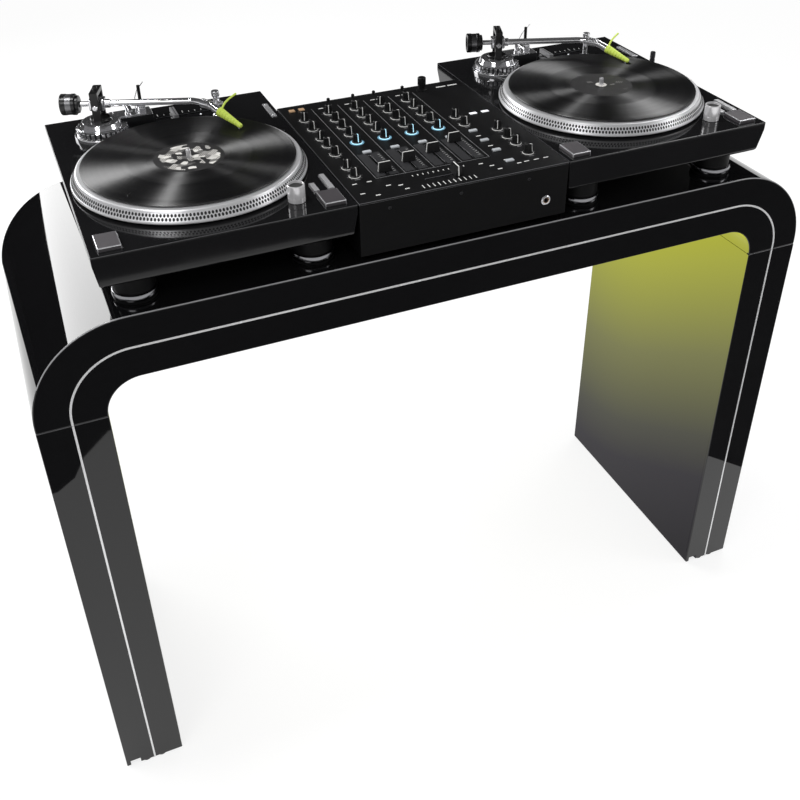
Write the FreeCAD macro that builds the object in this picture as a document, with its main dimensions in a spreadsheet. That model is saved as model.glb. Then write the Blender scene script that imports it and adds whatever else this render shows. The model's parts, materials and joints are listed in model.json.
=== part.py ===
"""DJ booth: gloss bridge stand with two turntables in battle position and a four-channel mixer.

Frame: origin on the floor under the middle of the booth, +X to the right, +Y away from the player,
+Z up. Lengths are in millimetres and angles in degrees.
"""
import FreeCAD, Part
import os
import re
import Sketcher

# Driving sizes, one named cell each
STAND_SIZES = {
    "stand_width": 1260,
    "stand_depth": 450,
    "stand_height": 895,
    "panel_thickness": 96,
    "panel_wall": 20,
    "outer_corner_radius": 142,
    "inner_corner_radius": 52,
    "seam_drop": 7,
    "inlay_width": 4,
    "inlay_depth": 3,
    "inlay_proud": 0.6,
    "notch_inset": 7,
    "notch_width": 17,
    "notch_height": 10,
    "bolt_radius": 4,
    "bolt_length": 60,
    "bolt_spacing": 50,
    "glide_radius": 9,
    "glide_spacing": 26,
    "glide_height": 3,
    "glow_thickness": 3,
    "glow_margin": 5,
    "glow_lift": 24,
    "light_bar_width": 18,
    "light_bar_height": 10,
    "light_bar_wall": 1.5,
    "light_bar_inset": 40,
    "light_cover_thickness": 2,
}
PLINTH_SIZES = {
    "deck_width": 352,
    "deck_length": 460,
    "deck_gap": 1.8,
    "deck_front_inset": 3,
    "deck_skin": 6,
    "plinth_height": 50,
    "plinth_band": 12,
    "plinth_taper": 8,
    "plinth_round": 8,
    "plinth_wall": 16,
    "pan_thickness": 4,
    "fit_gap": 0.3,
    "pin_clearance": 0.05,
    "cut_overrun": 2,
    "foot_height": 41.4,
    "foot_inset_side": 52,
    "foot_inset_front": 50,
    "foot_radius": 31,
    "foot_pad_inset": 1.5,
    "foot_pad_height": 4,
    "foot_neck_radius": 28,
    "foot_ring_height": 9,
    "foot_ring_bevel": 1.5,
    "foot_ring_gap": 0.2,
    "key_width": 30,
    "key_length": 40,
    "key_rise": 5,
    "key_depth": 8,
    "key_travel": 2,
    "key_inset_side": 26.5,
    "key_inset_front": 31,
    "speed_key_width": 8,
    "short_speed_key_length": 26,
    "long_speed_key_length": 48,
    "speed_key_rise": 3,
    "speed_key_gap": 6,
    "dial_radius": 12,
    "dial_height": 25,
    "dial_rim": 2,
    "dial_recess": 3,
    "dial_stem_radius": 5,
    "dial_stem_length": 12,
    "dial_gap": 6.6,
    "dial_key_gap": 17.4,
    "peg_radius": 4.5,
    "peg_length": 38,
    "peg_rise": 28,
    "peg_stub": 2,
    "peg_inset_side": 18,
    "peg_gap": 14.8,
    "pitch_cap_width": 7.5,
    "pitch_cap_length": 38,
    "pitch_cap_height": 8,
    "pitch_cap_lift": 0.5,
    "pitch_travel": 100,
    "pitch_side_gap": 8,
    "pitch_back_gap": 3,
    "pitch_stem_width": 6,
    "pitch_stem_thickness": 2.4,
    "pitch_stem_length": 12,
    "slot_clearance": 0.4,
}
PLATTER_SIZES = {
    "platter_offset_side": -4.5,
    "platter_offset_back": -37,
    "platter_radius": 166,
    "platter_top": 20,
    "platter_lift": 3.2,
    "platter_skirt": 8,
    "platter_web": 9,
    "rim_lip": 2.3,
    "rim_bevel": 1.5,
    "rim_slope_width": 8,
    "rim_land_width": 2.5,
    "hub_radius": 46,
    "hub_drop": 3,
    "shaft_radius": 7,
    "shaft_drop": 30,
    "spindle_radius": 3.6,
    "spindle_seat_radius": 3.8,
    "spindle_rise": 12,
    "spindle_tip": 1,
    "slipmat_radius": 148,
    "slipmat_thickness": 1.5,
    "record_radius": 150.8,
    "record_thickness": 2.2,
    "record_hole_gap": 0.15,
    "motor_opening_radius": 55,
    "motor_flange_overlap": 9,
    "motor_flange_height": 3,
    "motor_radius": 48,
    "motor_floor": 5.7,
}
ARM_SIZES = {
    "arm_over_record": 26.3,
    "arm_angle": -20,
    "arm_base_gap": 3,
    "arm_bearing": 116,
    "arm_base_radius": 42,
    "arm_base_height": 6,
    "height_ring_radius": 38,
    "height_ring_height": 10,
    "arm_dome_radius": 32,
    "arm_dome_top_radius": 28,
    "arm_dome_height": 8,
    "gimbal_shaft_radius": 5,
    "gimbal_gap": 0.5,
    "yoke_base_radius": 15,
    "yoke_base_height": 5,
    "yoke_width": 38,
    "yoke_side": 5.5,
    "yoke_depth": 12,
    "yoke_window_rise": 16,
    "yoke_bar": 7,
    "yoke_screw_radius": 3.5,
    "yoke_screw_height": 5,
    "pivot_pin_radius": 2,
    "block_length": 24,
    "block_width": 18,
    "arm_tube_radius": 5,
    "bend_start": 136,
    "bend_radius": 30,
    "bend_angle": 37,
    "neck_length": 5,
    "collar_length": 16,
    "collar_radius": 7,
    "stub_radius": 6,
    "stub_inset": 3,
    "weight_gap": 27,
    "weight_length": 27,
    "weight_radius": 16,
    "weight_band_depth": 0.8,
    "weight_bevel": 2,
    "weight_recess_radius": 11,
    "weight_recess_depth": 12,
    "cartridge_slope": 19.5,
    "cartridge_gap": 0.6,
    "cartridge_length": 64,
    "cartridge_radius": 7.6,
    "needle_radius": 0.9,
    "needle_tip_inset": 6,
    "needle_clearance": 0.5,
    "finger_lift_radius": 1.5,
    "finger_lift_length": 36,
    "finger_lift_rise": 9,
    "finger_lift_inset": 9,
    "lifter_reach": 80,
    "lifter_front": -2,
    "lifter_back": 32,
    "lifter_height": 22,
    "lifter_bar_start": 40,
    "lifter_bar_width": 7,
    "lifter_bar_front": -24,
    "lifter_bar_back": 14,
    "lifter_bar_post": 10,
    "lifter_bar_thickness": 3,
    "lifter_bar_gap": 4,
    "cue_pivot_side": 66,
    "cue_pivot_back": 20,
    "cue_pin_radius": 2.5,
    "cue_hub_radius": 5,
    "cue_hub_length": 8.4,
    "cue_stick_radius": 2.6,
    "cue_length": 34,
    "ear_size": 12,
    "ear_thickness": 4,
    "rest_distance": 180,
    "rest_base_radius": 7,
    "rest_base_height": 3,
    "rest_post_radius": 4.5,
    "rest_knob_radius": 6.5,
    "rest_knob_height": 9,
    "rest_height": 42,
    "rest_saddle_length": 34,
    "rest_saddle_width": 10,
    "rest_saddle_thickness": 3,
    "rest_lip_height": 3,
}
MIXER_SIZES = {
    "mixer_width": 325,
    "mixer_depth": 372,
    "mixer_height": 82,
    "mixer_wall": 2,
    "faceplate_thickness": 3,
    "mixer_foot_inset": 30,
    "mixer_foot_radius": 10,
    "strip_inset": 70.5,
    "strip_pitch": 45,
    "knob_row_inset": 54,
    "knob_row_pitch": 31.5,
    "knob_radius": 6.4,
    "knob_skirt_radius": 8,
    "knob_skirt_height": 2.5,
    "knob_height": 15,
    "knob_taper": 0.9,
    "knob_shaft_radius": 3,
    "knob_shaft_length": 10,
    "left_column_inset": 25.5,
    "right_column_inset": 38.5,
    "effect_column_inset": 77,
    "tall_knob_radius": 7,
    "tall_knob_height": 22,
    "cue_button_drop": 41,
    "cue_button_width": 13,
    "cue_button_length": 7,
    "cue_button_height": 3,
    "fader_row_drop": 43,
    "fader_travel": 60,
    "fader_cap_width": 20,
    "fader_cap_length": 11,
    "fader_cap_height": 14,
    "fader_cap_taper": 6,
    "fader_cap_lift": 0.5,
    "fader_stem_width": 5,
    "fader_stem_thickness": 2.4,
    "fader_stem_length": 14,
    "crossfader_inset": 33,
    "crossfader_travel": 45,
    "jack_inset": 35,
    "jack_drop": 53.8,
    "jack_bore_radius": 3.25,
    "jack_barrel_radius": 5,
    "jack_flange_radius": 7,
    "jack_flange_height": 1.5,
    "jack_length": 16,
    "phono_radius": 4.2,
    "phono_bore_radius": 1.7,
    "phono_length": 12,
    "phono_pitch": 24,
    "phono_row_pitch": 18,
    "phono_row_drop": 30,
    "inlet_width": 27,
    "inlet_height": 20,
    "inlet_depth": 16,
    "inlet_side": 120,
    "board_thickness": 2,
    "board_margin": 14,
    "board_lift": 12,
    "board_post_radius": 4,
    "board_block_height": 14,
    "deck_board_width": 60,
    "deck_board_length": 110,
    "deck_board_gap": 9,
}
SIZES = {**STAND_SIZES, **PLINTH_SIZES, **PLATTER_SIZES, **ARM_SIZES, **MIXER_SIZES}

# Sizes and places that follow from the driving ones
DERIVED = {
    "bridge_rise": "outer_corner_radius + seam_drop",
    "seam_height": "stand_height - bridge_rise",
    "leg_height": "seam_height - glide_height",
    "stand_front": "-(deck_front_inset + deck_length - inlay_proud) / 2",
    "deck_front": "stand_front + deck_front_inset",
    "deck_mid": "deck_front + deck_length / 2",
    "deck_top": "stand_height + foot_height + plinth_height",
    "deck_offset": "mixer_width / 2 + deck_gap + deck_width / 2",
    "record_top": "platter_top + slipmat_thickness + record_thickness",
    "key_side": "deck_width / 2 - key_inset_side",
    "key_front": "key_inset_front - deck_length / 2",
    "speed_key_front": "key_front + key_length / 2 + speed_key_gap",
    "dial_reach": "platter_radius + dial_gap + dial_radius",
    "dial_side": "key_side - key_width / 2 - dial_key_gap - dial_radius",
    "dial_back": "platter_offset_back - sqrt(max(0; dial_reach ^ 2 - (dial_side - platter_offset_side) ^ 2))",
    "peg_side": "deck_width / 2 - peg_inset_side",
    "peg_reach": "platter_radius + peg_gap + peg_radius",
    "peg_back": "platter_offset_back + sqrt(max(0; peg_reach ^ 2 - (peg_side - platter_offset_side) ^ 2))",
    "arm_reach": "platter_radius + arm_base_gap + arm_base_radius",
    "arm_side": "platter_offset_side + arm_reach * cos(arm_bearing * 1 deg)",
    "arm_back": "platter_offset_back + arm_reach * sin(arm_bearing * 1 deg)",
    "arm_height": "record_top + arm_over_record",
    "arm_base_top": "arm_base_height + height_ring_height + arm_dome_height",
    "gimbal_bore_radius": "gimbal_shaft_radius + pin_clearance",
    "yoke_bottom": "arm_base_top + gimbal_gap",
    "yoke_window_bottom": "yoke_bottom + yoke_base_height",
    "yoke_window_top": "arm_height + yoke_window_rise",
    "yoke_top": "yoke_window_top + yoke_bar",
    "lifter_bar_top": "arm_height - arm_tube_radius - lifter_bar_gap",
    "cue_pivot_height": "lifter_height + ear_size / 2",
    "bend_end_along": "bend_start + bend_radius * sin(bend_angle * 1 deg)",
    "bend_end_across": "-bend_radius * (1 - cos(bend_angle * 1 deg))",
    "neck_end_along": "bend_end_along + neck_length * cos(bend_angle * 1 deg)",
    "neck_end_across": "bend_end_across - neck_length * sin(bend_angle * 1 deg)",
    "head_along": "neck_end_along + collar_length * cos(bend_angle * 1 deg)",
    "head_across": "neck_end_across - collar_length * sin(bend_angle * 1 deg)",
    "head_angle": "arm_angle - bend_angle",
    "needle_reach": "cartridge_length - needle_tip_inset",
    "needle_drop": "(cartridge_gap + needle_reach) * sin(cartridge_slope * 1 deg)",
    "needle_length": "(arm_over_record - needle_drop - needle_clearance) / cos(cartridge_slope * 1 deg)",
    "finger_lift_curve": "(finger_lift_length ^ 2 + finger_lift_rise ^ 2) / (2 * finger_lift_rise)",
    "stub_length": "weight_gap + weight_length - stub_inset",
    "rest_side": "arm_side + rest_distance",
    "pitch_back": "arm_back + rest_base_radius + pitch_back_gap + pitch_cap_length / 2",
    "pitch_middle": "arm_side + lifter_reach + pitch_side_gap + pitch_cap_width / 2 + pitch_travel / 2",
    "mixer_mid": "deck_front + mixer_depth / 2",
    "mixer_foot_height": "foot_height + plinth_height - mixer_height",
    "case_height": "mixer_height - faceplate_thickness",
    "strip_side": "strip_inset - mixer_width / 2",
    "trim_row": "mixer_depth / 2 - knob_row_inset",
    "filter_row": "trim_row - 4 * knob_row_pitch",
    "cue_row": "filter_row - cue_button_drop",
    "fader_row": "cue_row - fader_row_drop",
    "crossfader_row": "crossfader_inset - mixer_depth / 2",
    "crossfader_side": "strip_side + 1.5 * strip_pitch",
    "deck_inlet_back": "deck_length / 2 - plinth_wall - fit_gap - inlet_height / 2",
    "deck_board_side": "plinth_wall + deck_board_gap + deck_board_width / 2 - deck_width / 2",
}

# Where the moving controls stand at rest, as shares of their travel
PITCH_REST_SHARE = -0.25
FADER_REST_SHARES = (-0.43, -0.12, 0.12, 0.47)
CROSSFADER_REST_SHARE = 0.48

# Rows of the mixer's outer columns, as shares of its depth from the middle
LEFT_COLUMN_SHARES = (0.32, 0.215, 0.108, 0.032, -0.06, -0.196, -0.277)
RIGHT_COLUMN_SHARES = (-0.097, -0.186, -0.258, -0.358)
EFFECT_COLUMN_SHARES = (0.091, 0.003)
BUTTON_COLUMN_SHARES = (-0.078, -0.183, -0.288, -0.398)
TALL_KNOB_SHARE = 0.444

# Profile of the cartridge as shares of its length and radius, from the arm's collar to the tip
CARTRIDGE_SHARES = ((0, 0), (0.014, 0.52), (0.05, 0.82), (0.125, 1), (0.22, 1),
                    (0.90, 0.45), (0.985, 0.32), (1, 0))
# Bands of the counterweight's rim as shares of its length
WEIGHT_BAND_SHARES = (0.25, 0.30, 0.58, 0.63)
# Largest part of the space at a corner that a rounding may take
ROUND_LIMIT_SHARE = 0.98
# How far the bevelled corners of the stand's hollow reach along its rounded shoulders
CAVITY_BEVEL_SHARE = 0.414
# Two places nearer than this are the same place
SAME_PLACE = 1e-6

CHANNELS = range(4)
DECKS = {"deck_a": "-deck_offset", "deck_b": "deck_offset"}
SIDES = ("-", "")

vector = FreeCAD.Vector
doc = FreeCAD.newDocument("dj_booth")
nodes = {}


def fill_sheet():
    """Put every named size in the sheet, the driving ones as plain numbers."""
    cells = doc.addObject("Spreadsheet::Sheet", "Sizes")
    rows = list(SIZES.items())
    rows += [(alias, "=" + formula) for alias, formula in DERIVED.items()]
    for row, (alias, value) in enumerate(rows, start=1):
        cells.set(f"A{row}", alias)
        cells.set(f"B{row}", str(value))
        cells.setAlias(f"B{row}", alias)
    doc.recompute()
    return cells


sheet = fill_sheet()


def bound(formula):
    """Return a formula with every named size tied to its cell."""
    def cell(word):
        known = word[0] in SIZES or word[0] in DERIVED
        return f"Sizes.{word[0]}" if known else word[0]
    return re.sub(r"[a-z][a-z_]+", cell, str(formula))


def number(formula):
    """Return the present value of a formula."""
    value = sheet.evalExpression(bound(formula))
    return float(getattr(value, "Value", value))


def placement(side, back, up, yaw="0", pitch="0"):
    """Return the formula of a place and a turn."""
    spot = f"vector({bound(side)}; {bound(back)}; {bound(up)})"
    return f"placement({spot}; rotation({bound(yaw)}; {bound(pitch)}; 0))"


class Piece:
    """One solid piece, drawn with sketches and features that follow the sheet."""

    def __init__(self, label):
        self.body = doc.addObject("PartDesign::Body", label)
        self.body.Label = label

    def sketch(self, plane, offset):
        """Start a sketch on an origin plane, moved along the plane's normal."""
        drawing = self.body.newObject("Sketcher::SketchObject", "outline")
        features = self.body.Origin.OriginFeatures
        support = next(item for item in features if item.Role == plane + "_Plane")
        drawing.AttachmentSupport = [(support, "")]
        drawing.MapMode = "FlatFace"
        drawing.setExpression("AttachmentOffset.Base.z", bound(offset))
        return drawing

    def fix_point(self, drawing, geometry, position, point):
        """Tie one point of a sketch to its two formulas."""
        for kind, formula in zip(("DistanceX", "DistanceY"), point):
            rule = Sketcher.Constraint(kind, -1, 1, geometry, position, number(formula))
            index = drawing.addConstraint(rule)
            drawing.setExpression(f"Constraints[{index}]", bound(formula))

    def add_outline(self, drawing, points):
        """Draw a closed outline of straight edges through points given as pairs of formulas."""
        corners = [vector(number(x), number(y), 0) for x, y in points]
        first = drawing.GeometryCount
        for start, end in zip(corners, corners[1:] + corners[:1]):
            drawing.addGeometry(Part.LineSegment(start, end))
        edges = range(first, drawing.GeometryCount)
        for edge, following in zip(edges, (*edges[1:], first)):
            drawing.addConstraint(Sketcher.Constraint("Coincident", edge, 2, following, 1))
        for edge, point in zip(edges, points):
            self.fix_point(drawing, edge, 1, point)

    def polygons(self, loops, plane="XY", offset="0"):
        """Draw closed outlines."""
        drawing = self.sketch(plane, offset)
        for points in loops:
            self.add_outline(drawing, points)
        return drawing

    def rectangles(self, boxes, plane="XY", offset="0"):
        """Draw rectangles given as middle, middle, size, size."""
        loops = []
        for across, along, width, length in boxes:
            low, high = f"{across} - ({width}) / 2", f"{across} + ({width}) / 2"
            near, far = f"{along} - ({length}) / 2", f"{along} + ({length}) / 2"
            loops.append([(low, near), (high, near), (high, far), (low, far)])
        return self.polygons(loops, plane, offset)

    def circles(self, rounds, plane="XY", offset="0"):
        """Draw circles given as middle, middle, radius."""
        drawing = self.sketch(plane, offset)
        for across, along, radius in rounds:
            middle = vector(number(across), number(along), 0)
            shape = Part.Circle(middle, vector(0, 0, 1), number(radius))
            index = drawing.addGeometry(shape)
            self.fix_point(drawing, index, 3, (across, along))
            rule = drawing.addConstraint(Sketcher.Constraint("Radius", index, number(radius)))
            drawing.setExpression(f"Constraints[{rule}]", bound(radius))
        return drawing

    def pad(self, drawing, length, back=False, both=False, taper=None):
        """Raise a sketch along its normal, or against it."""
        feature = self.body.newObject("PartDesign::Pad", "pad")
        return self.finish_prism(feature, drawing, length, back, both, taper)

    def pocket(self, drawing, length, back=False, both=False):
        """Cut a sketch into the piece against its normal, or along it."""
        before = self.body.Shape.Volume
        feature = self.body.newObject("PartDesign::Pocket", "pocket")
        self.finish_prism(feature, drawing, length, back, both, None)
        if not self.body.Shape.Volume < before:
            raise RuntimeError(f"{self.body.Label}: a pocket cuts nothing")
        return feature

    def finish_prism(self, feature, drawing, length, back, both, taper):
        """Set what pads and pockets share."""
        feature.Profile = drawing
        feature.setExpression("Length", bound(length))
        feature.Reversed = back
        feature.Midplane = both
        if taper:
            feature.setExpression("TaperAngle", bound(taper))
        doc.recompute()
        return feature

    def spin(self, points):
        """Turn an outline of radius and height about the upright axis."""
        feature = self.body.newObject("PartDesign::Revolution", "spin")
        drawing = self.polygons([points], plane="XZ")
        feature.Profile = drawing
        feature.ReferenceAxis = (drawing, ["V_Axis"])
        doc.recompute()
        return feature

    def soften(self, radius, chosen):
        """Round the edges whose middle the test picks."""
        base = self.body.Tip
        names = []
        for index, edge in enumerate(base.Shape.Edges, start=1):
            if chosen(edge.BoundBox):
                names.append(f"Edge{index}")
        feature = self.body.newObject("PartDesign::Fillet", "soften")
        feature.Base = (base, names)
        feature.setExpression("Radius", bound(radius))
        doc.recompute()
        return feature

    def place(self, side, back, up, yaw="0", pitch="0"):
        """Tie the piece's place and turn to the sheet."""
        self.body.setExpression("Placement", placement(side, back, up, yaw, pitch))
        return self.body


def near(first, second):
    """Say whether two lengths are the same, apart from rounding."""
    return abs(first - second) < SAME_PLACE


def keep(label, item):
    """Take an object into the list of nodes."""
    item.Label = label
    nodes[label] = item
    return item


def gather(label, copies):
    """Make one node of several separate solids, each a copy of a form at its own place."""
    links = []
    for form, place in copies:
        link = doc.addObject("App::Link", label + "_copy")
        link.LinkedObject = form
        link.setExpression("Placement", place)
        links.append(link)
    compound = doc.addObject("Part::Compound", label)
    compound.Links = links
    return keep(label, compound)


def at_decks(side="0", back="0", up="0"):
    """Return a place on both decks, counted from the middle of the deck's top."""
    return [placement(f"{middle} + {side}", f"deck_mid + {back}", f"deck_top + {up}")
            for middle in DECKS.values()]


def leg_corner(sign):
    """Return where a leg's left edge stands."""
    return "-stand_width / 2" if sign else "stand_width / 2 - panel_thickness"


def make_leg(label, sign):
    """Hollow leg with an inlay groove, a cable notch and a recess for the lit sheet."""
    piece = Piece(label)
    half, middle = "panel_thickness / 2", "stand_depth / 2"
    piece.pad(piece.rectangles([(half, middle, "panel_thickness", "stand_depth")]), "leg_height")
    hollow = (half, middle, "panel_thickness - 2 * panel_wall", "stand_depth - 2 * panel_wall")
    piece.pocket(piece.rectangles([hollow], offset="leg_height"), "leg_height - panel_wall")
    holes = [(f"{half} {way} bolt_spacing / 2", row, "bolt_radius")
             for way in "+-" for row in ("panel_wall / 2", "stand_depth - panel_wall / 2")]
    piece.pocket(piece.circles(holes, offset="leg_height"), "bolt_length / 2")
    notch = ("notch_inset + notch_width / 2", "notch_height / 2", "notch_width", "notch_height")
    piece.pocket(piece.rectangles([notch], plane="XZ"), "stand_depth")
    groove = (half, "leg_height / 2", "inlay_width", "leg_height")
    piece.pocket(piece.rectangles([groove], plane="XZ"), "inlay_depth")
    recess = (middle, "(leg_height + glow_lift) / 2",
              "stand_depth - 2 * glow_margin", "leg_height - glow_lift")
    inner_face = "panel_thickness" if sign else "0"
    sheet_outline = piece.rectangles([recess], plane="YZ", offset=inner_face)
    piece.pocket(sheet_outline, "glow_thickness", back=not sign)
    return keep(label, piece.place(leg_corner(sign), "stand_front", "glide_height"))


def arch(inset):
    """Return the upside-down U that lies a given way in from the stand's outside."""
    half, rise = f"(stand_width / 2 - {inset})", f"(bridge_rise - {inset})"
    return [(f"-{half}", "0"), (f"-{half}", rise), (half, rise), (half, "0")]


def band_outline(outer, inner):
    """Return the closed outline between two such arches."""
    return arch(outer) + arch(inner)[::-1]


def soften_arch(piece, outer, outer_radius, inner, inner_radius):
    """Round both long corners of an arch, outside and inside."""
    for inset, radius in ((outer, outer_radius), (inner, inner_radius)):
        half = number(f"stand_width / 2 - ({inset})")
        rise = number(f"bridge_rise - ({inset})")

        def corner(box):
            level = near(box.ZMin, rise) and near(box.ZMax, rise)
            return level and near(abs(box.XMin), half) and near(abs(box.XMax), half) \
                and near(box.XMin, box.XMax)
        piece.soften(radius, corner)


def make_stand():
    """Bridge, legs, inlay, bolts, glides and the light under the top."""
    strip = Piece("arch_inlay_form")
    outer = "(panel_thickness - inlay_width) / 2"
    inner = "(panel_thickness + inlay_width) / 2"
    strip.pad(strip.polygons([band_outline(outer, inner)], plane="XZ"),
              "inlay_depth + inlay_proud", back=True)
    soften_arch(strip, outer, f"outer_corner_radius - {outer}", inner, f"outer_corner_radius - {inner}")
    strip.place("0", "stand_front - inlay_proud", "seam_height")

    bridge = Piece("bridge_form")
    bridge.pad(bridge.polygons([band_outline("0", "panel_thickness")], plane="XZ"), "stand_depth", back=True)
    inner_radius = f"min(inner_corner_radius; {ROUND_LIMIT_SHARE} * (bridge_rise - panel_thickness))"
    soften_arch(bridge, "0", "outer_corner_radius", "panel_thickness", inner_radius)
    half = "stand_width / 2"
    bevel = f"{CAVITY_BEVEL_SHARE} * (outer_corner_radius - panel_wall)"
    left = [(f"panel_wall - {half}", "0"), (f"panel_wall - {half}", f"seam_drop + {bevel}"),
            (f"outer_corner_radius - {bevel} - {half}", "bridge_rise - panel_wall")]
    underside = f"panel_thickness - panel_wall - {half}"
    low = "bridge_rise - panel_thickness + panel_wall"
    hollow = left + [(f"-({x})", z) for x, z in left[::-1]]
    hollow += [(f"-({underside})", "0"), (f"-({underside})", low), (underside, low), (underside, "0")]
    cavity = bridge.polygons([hollow], plane="XZ", offset="-stand_depth / 2")
    bridge.pocket(cavity, "stand_depth - 2 * panel_wall", both=True)
    holes = [(f"{sign}(stand_width - panel_thickness) / 2 {way} bolt_spacing / 2", row, "bolt_radius")
             for sign in SIDES for way in "+-"
             for row in ("panel_wall / 2", "stand_depth - panel_wall / 2")]
    bridge.pocket(bridge.circles(holes), "bolt_length / 2", back=True)
    bridge.place("0", "stand_front", "seam_height")
    grooved = doc.addObject("Part::Cut", "bridge_top")
    grooved.Base = bridge.body
    grooved.Tool = strip.body
    keep("bridge_top", grooved)

    for label, sign in (("left_leg", "-"), ("right_leg", "")):
        make_leg(label, sign)

    leg_strip = Piece("leg_inlay_form")
    leg_strip.pad(leg_strip.rectangles([("0", "(inlay_depth + inlay_proud) / 2",
                                         "inlay_width", "inlay_depth + inlay_proud")]), "leg_height")
    legs = [f"{sign}(stand_width - panel_thickness) / 2" for sign in SIDES]
    strips = [(strip.body, placement("0", "stand_front - inlay_proud", "seam_height"))]
    strips += [(leg_strip.body, placement(leg, "stand_front - inlay_proud", "glide_height")) for leg in legs]
    gather("inlay_strips", strips)

    bolt = Piece("leg_bolt_form")
    bolt.pad(bolt.circles([("0", "0", "bolt_radius")]), "bolt_length")
    glide = Piece("leg_glide_form")
    glide.pad(glide.circles([("0", "0", "glide_radius")]), "glide_height")
    rows = ("stand_front + panel_wall / 2", "stand_front + stand_depth - panel_wall / 2")
    corners = [(leg, way, row) for leg in legs for way in "+-" for row in rows]
    gather("leg_bolts", [(bolt.body, placement(f"{leg} {way} bolt_spacing / 2", row,
                                               "seam_height - bolt_length / 2")) for leg, way, row in corners])
    gather("leg_glides", [(glide.body, placement(f"{leg} {way} glide_spacing / 2", row, "0"))
                          for leg, way, row in corners])

    bar = Piece("light_bar_form")
    length = "stand_depth - 2 * light_bar_inset"
    bar.pad(bar.rectangles([("0", "-light_bar_height / 2", "light_bar_width", "light_bar_height")],
                           plane="XZ"), length, both=True)
    slot = ("0", "-(light_bar_height + light_bar_wall) / 2",
            "light_bar_width - 2 * light_bar_wall", "light_bar_height - light_bar_wall")
    bar.pocket(bar.rectangles([slot], plane="XZ"), length, both=True)
    cover = Piece("light_cover_form")
    cover.pad(cover.rectangles([("0", "light_cover_thickness / 2 - light_bar_height",
                                 "light_bar_width - 2 * light_bar_wall", "light_cover_thickness")],
                               plane="XZ"), length, both=True)
    pane = Piece("glow_sheet_form")
    pane.pad(pane.rectangles([("0", "stand_depth / 2", "glow_thickness", "stand_depth - 2 * glow_margin")]),
             "leg_height - glow_lift")
    reach = "(stand_width / 2 - panel_thickness - inner_corner_radius - light_bar_inset)"
    bars = [placement(f"{sign}{reach}", "stand_front + stand_depth / 2", "stand_height - panel_thickness")
            for sign in SIDES]
    gather("light_bar", [(bar.body, spot) for spot in bars])
    panes = [placement(f"{sign}(stand_width / 2 - panel_thickness + glow_thickness / 2)",
                       "stand_front", "glide_height + glow_lift") for sign in SIDES]
    gather("glow_sheets", [(cover.body, spot) for spot in bars] + [(pane.body, spot) for spot in panes])


def speed_keys():
    """Return side, back, width and length of the short and the long speed key."""
    short_side = "key_side - (key_width - speed_key_width) / 2"
    long_side = "key_side + (key_width - speed_key_width) / 2"
    return {"speed_33": (short_side, "speed_key_front + short_speed_key_length / 2",
                         "speed_key_width", "short_speed_key_length"),
            "speed_45": (long_side, "speed_key_front + long_speed_key_length / 2",
                         "speed_key_width", "long_speed_key_length")}


def start_keys():
    """Return side, back, width and length of the two start and stop keys."""
    return {"start_left": ("-key_side", "key_front", "key_width", "key_length"),
            "start_right": ("key_side", "key_front", "key_width", "key_length")}


def make_plinth(deck, middle):
    """Hollow deck body with a tapered skirt and openings for everything that passes through its top."""
    piece = Piece(deck + "_plinth")
    outline = ("0", "0", "deck_width", "deck_length")
    piece.pad(piece.rectangles([outline]), "plinth_band", back=True)
    skirt = piece.rectangles([outline], offset="-plinth_band")
    piece.pad(skirt, "plinth_height - plinth_band", back=True, taper="-plinth_taper")
    floor = number("-plinth_height")
    piece.soften("plinth_round", lambda box: near(box.ZMin, floor) and near(box.ZMax, floor))
    inside = ("0", "0", "deck_width - 2 * plinth_wall", "deck_length - 2 * plinth_wall")
    hollow = piece.rectangles([inside], offset="-plinth_height")
    piece.pocket(hollow, "plinth_height - deck_skin", back=True)
    wells = [(side, back, f"{width} + 2 * fit_gap", f"{length} + 2 * fit_gap")
             for side, back, width, length in (*start_keys().values(), *speed_keys().values())]
    piece.pocket(piece.rectangles(wells), "key_depth + key_travel + fit_gap")
    slot = ("pitch_middle", "pitch_back", "pitch_travel + pitch_stem_width + 2 * slot_clearance",
            "pitch_stem_thickness + 2 * slot_clearance")
    piece.pocket(piece.rectangles([slot]), "pitch_stem_length + cut_overrun")
    bores = (("platter_offset_side", "platter_offset_back", "motor_opening_radius", "deck_skin + cut_overrun"),
             ("dial_side", "dial_back", "dial_stem_radius + pin_clearance", "dial_stem_length + fit_gap"),
             ("peg_side", "peg_back", "peg_radius + fit_gap", "peg_length"))
    for side, back, radius, depth in bores:
        piece.pocket(piece.circles([(side, back, radius)]), depth)
    keep(deck + "_plinth", piece.place(middle, "deck_mid", "deck_top"))


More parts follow.
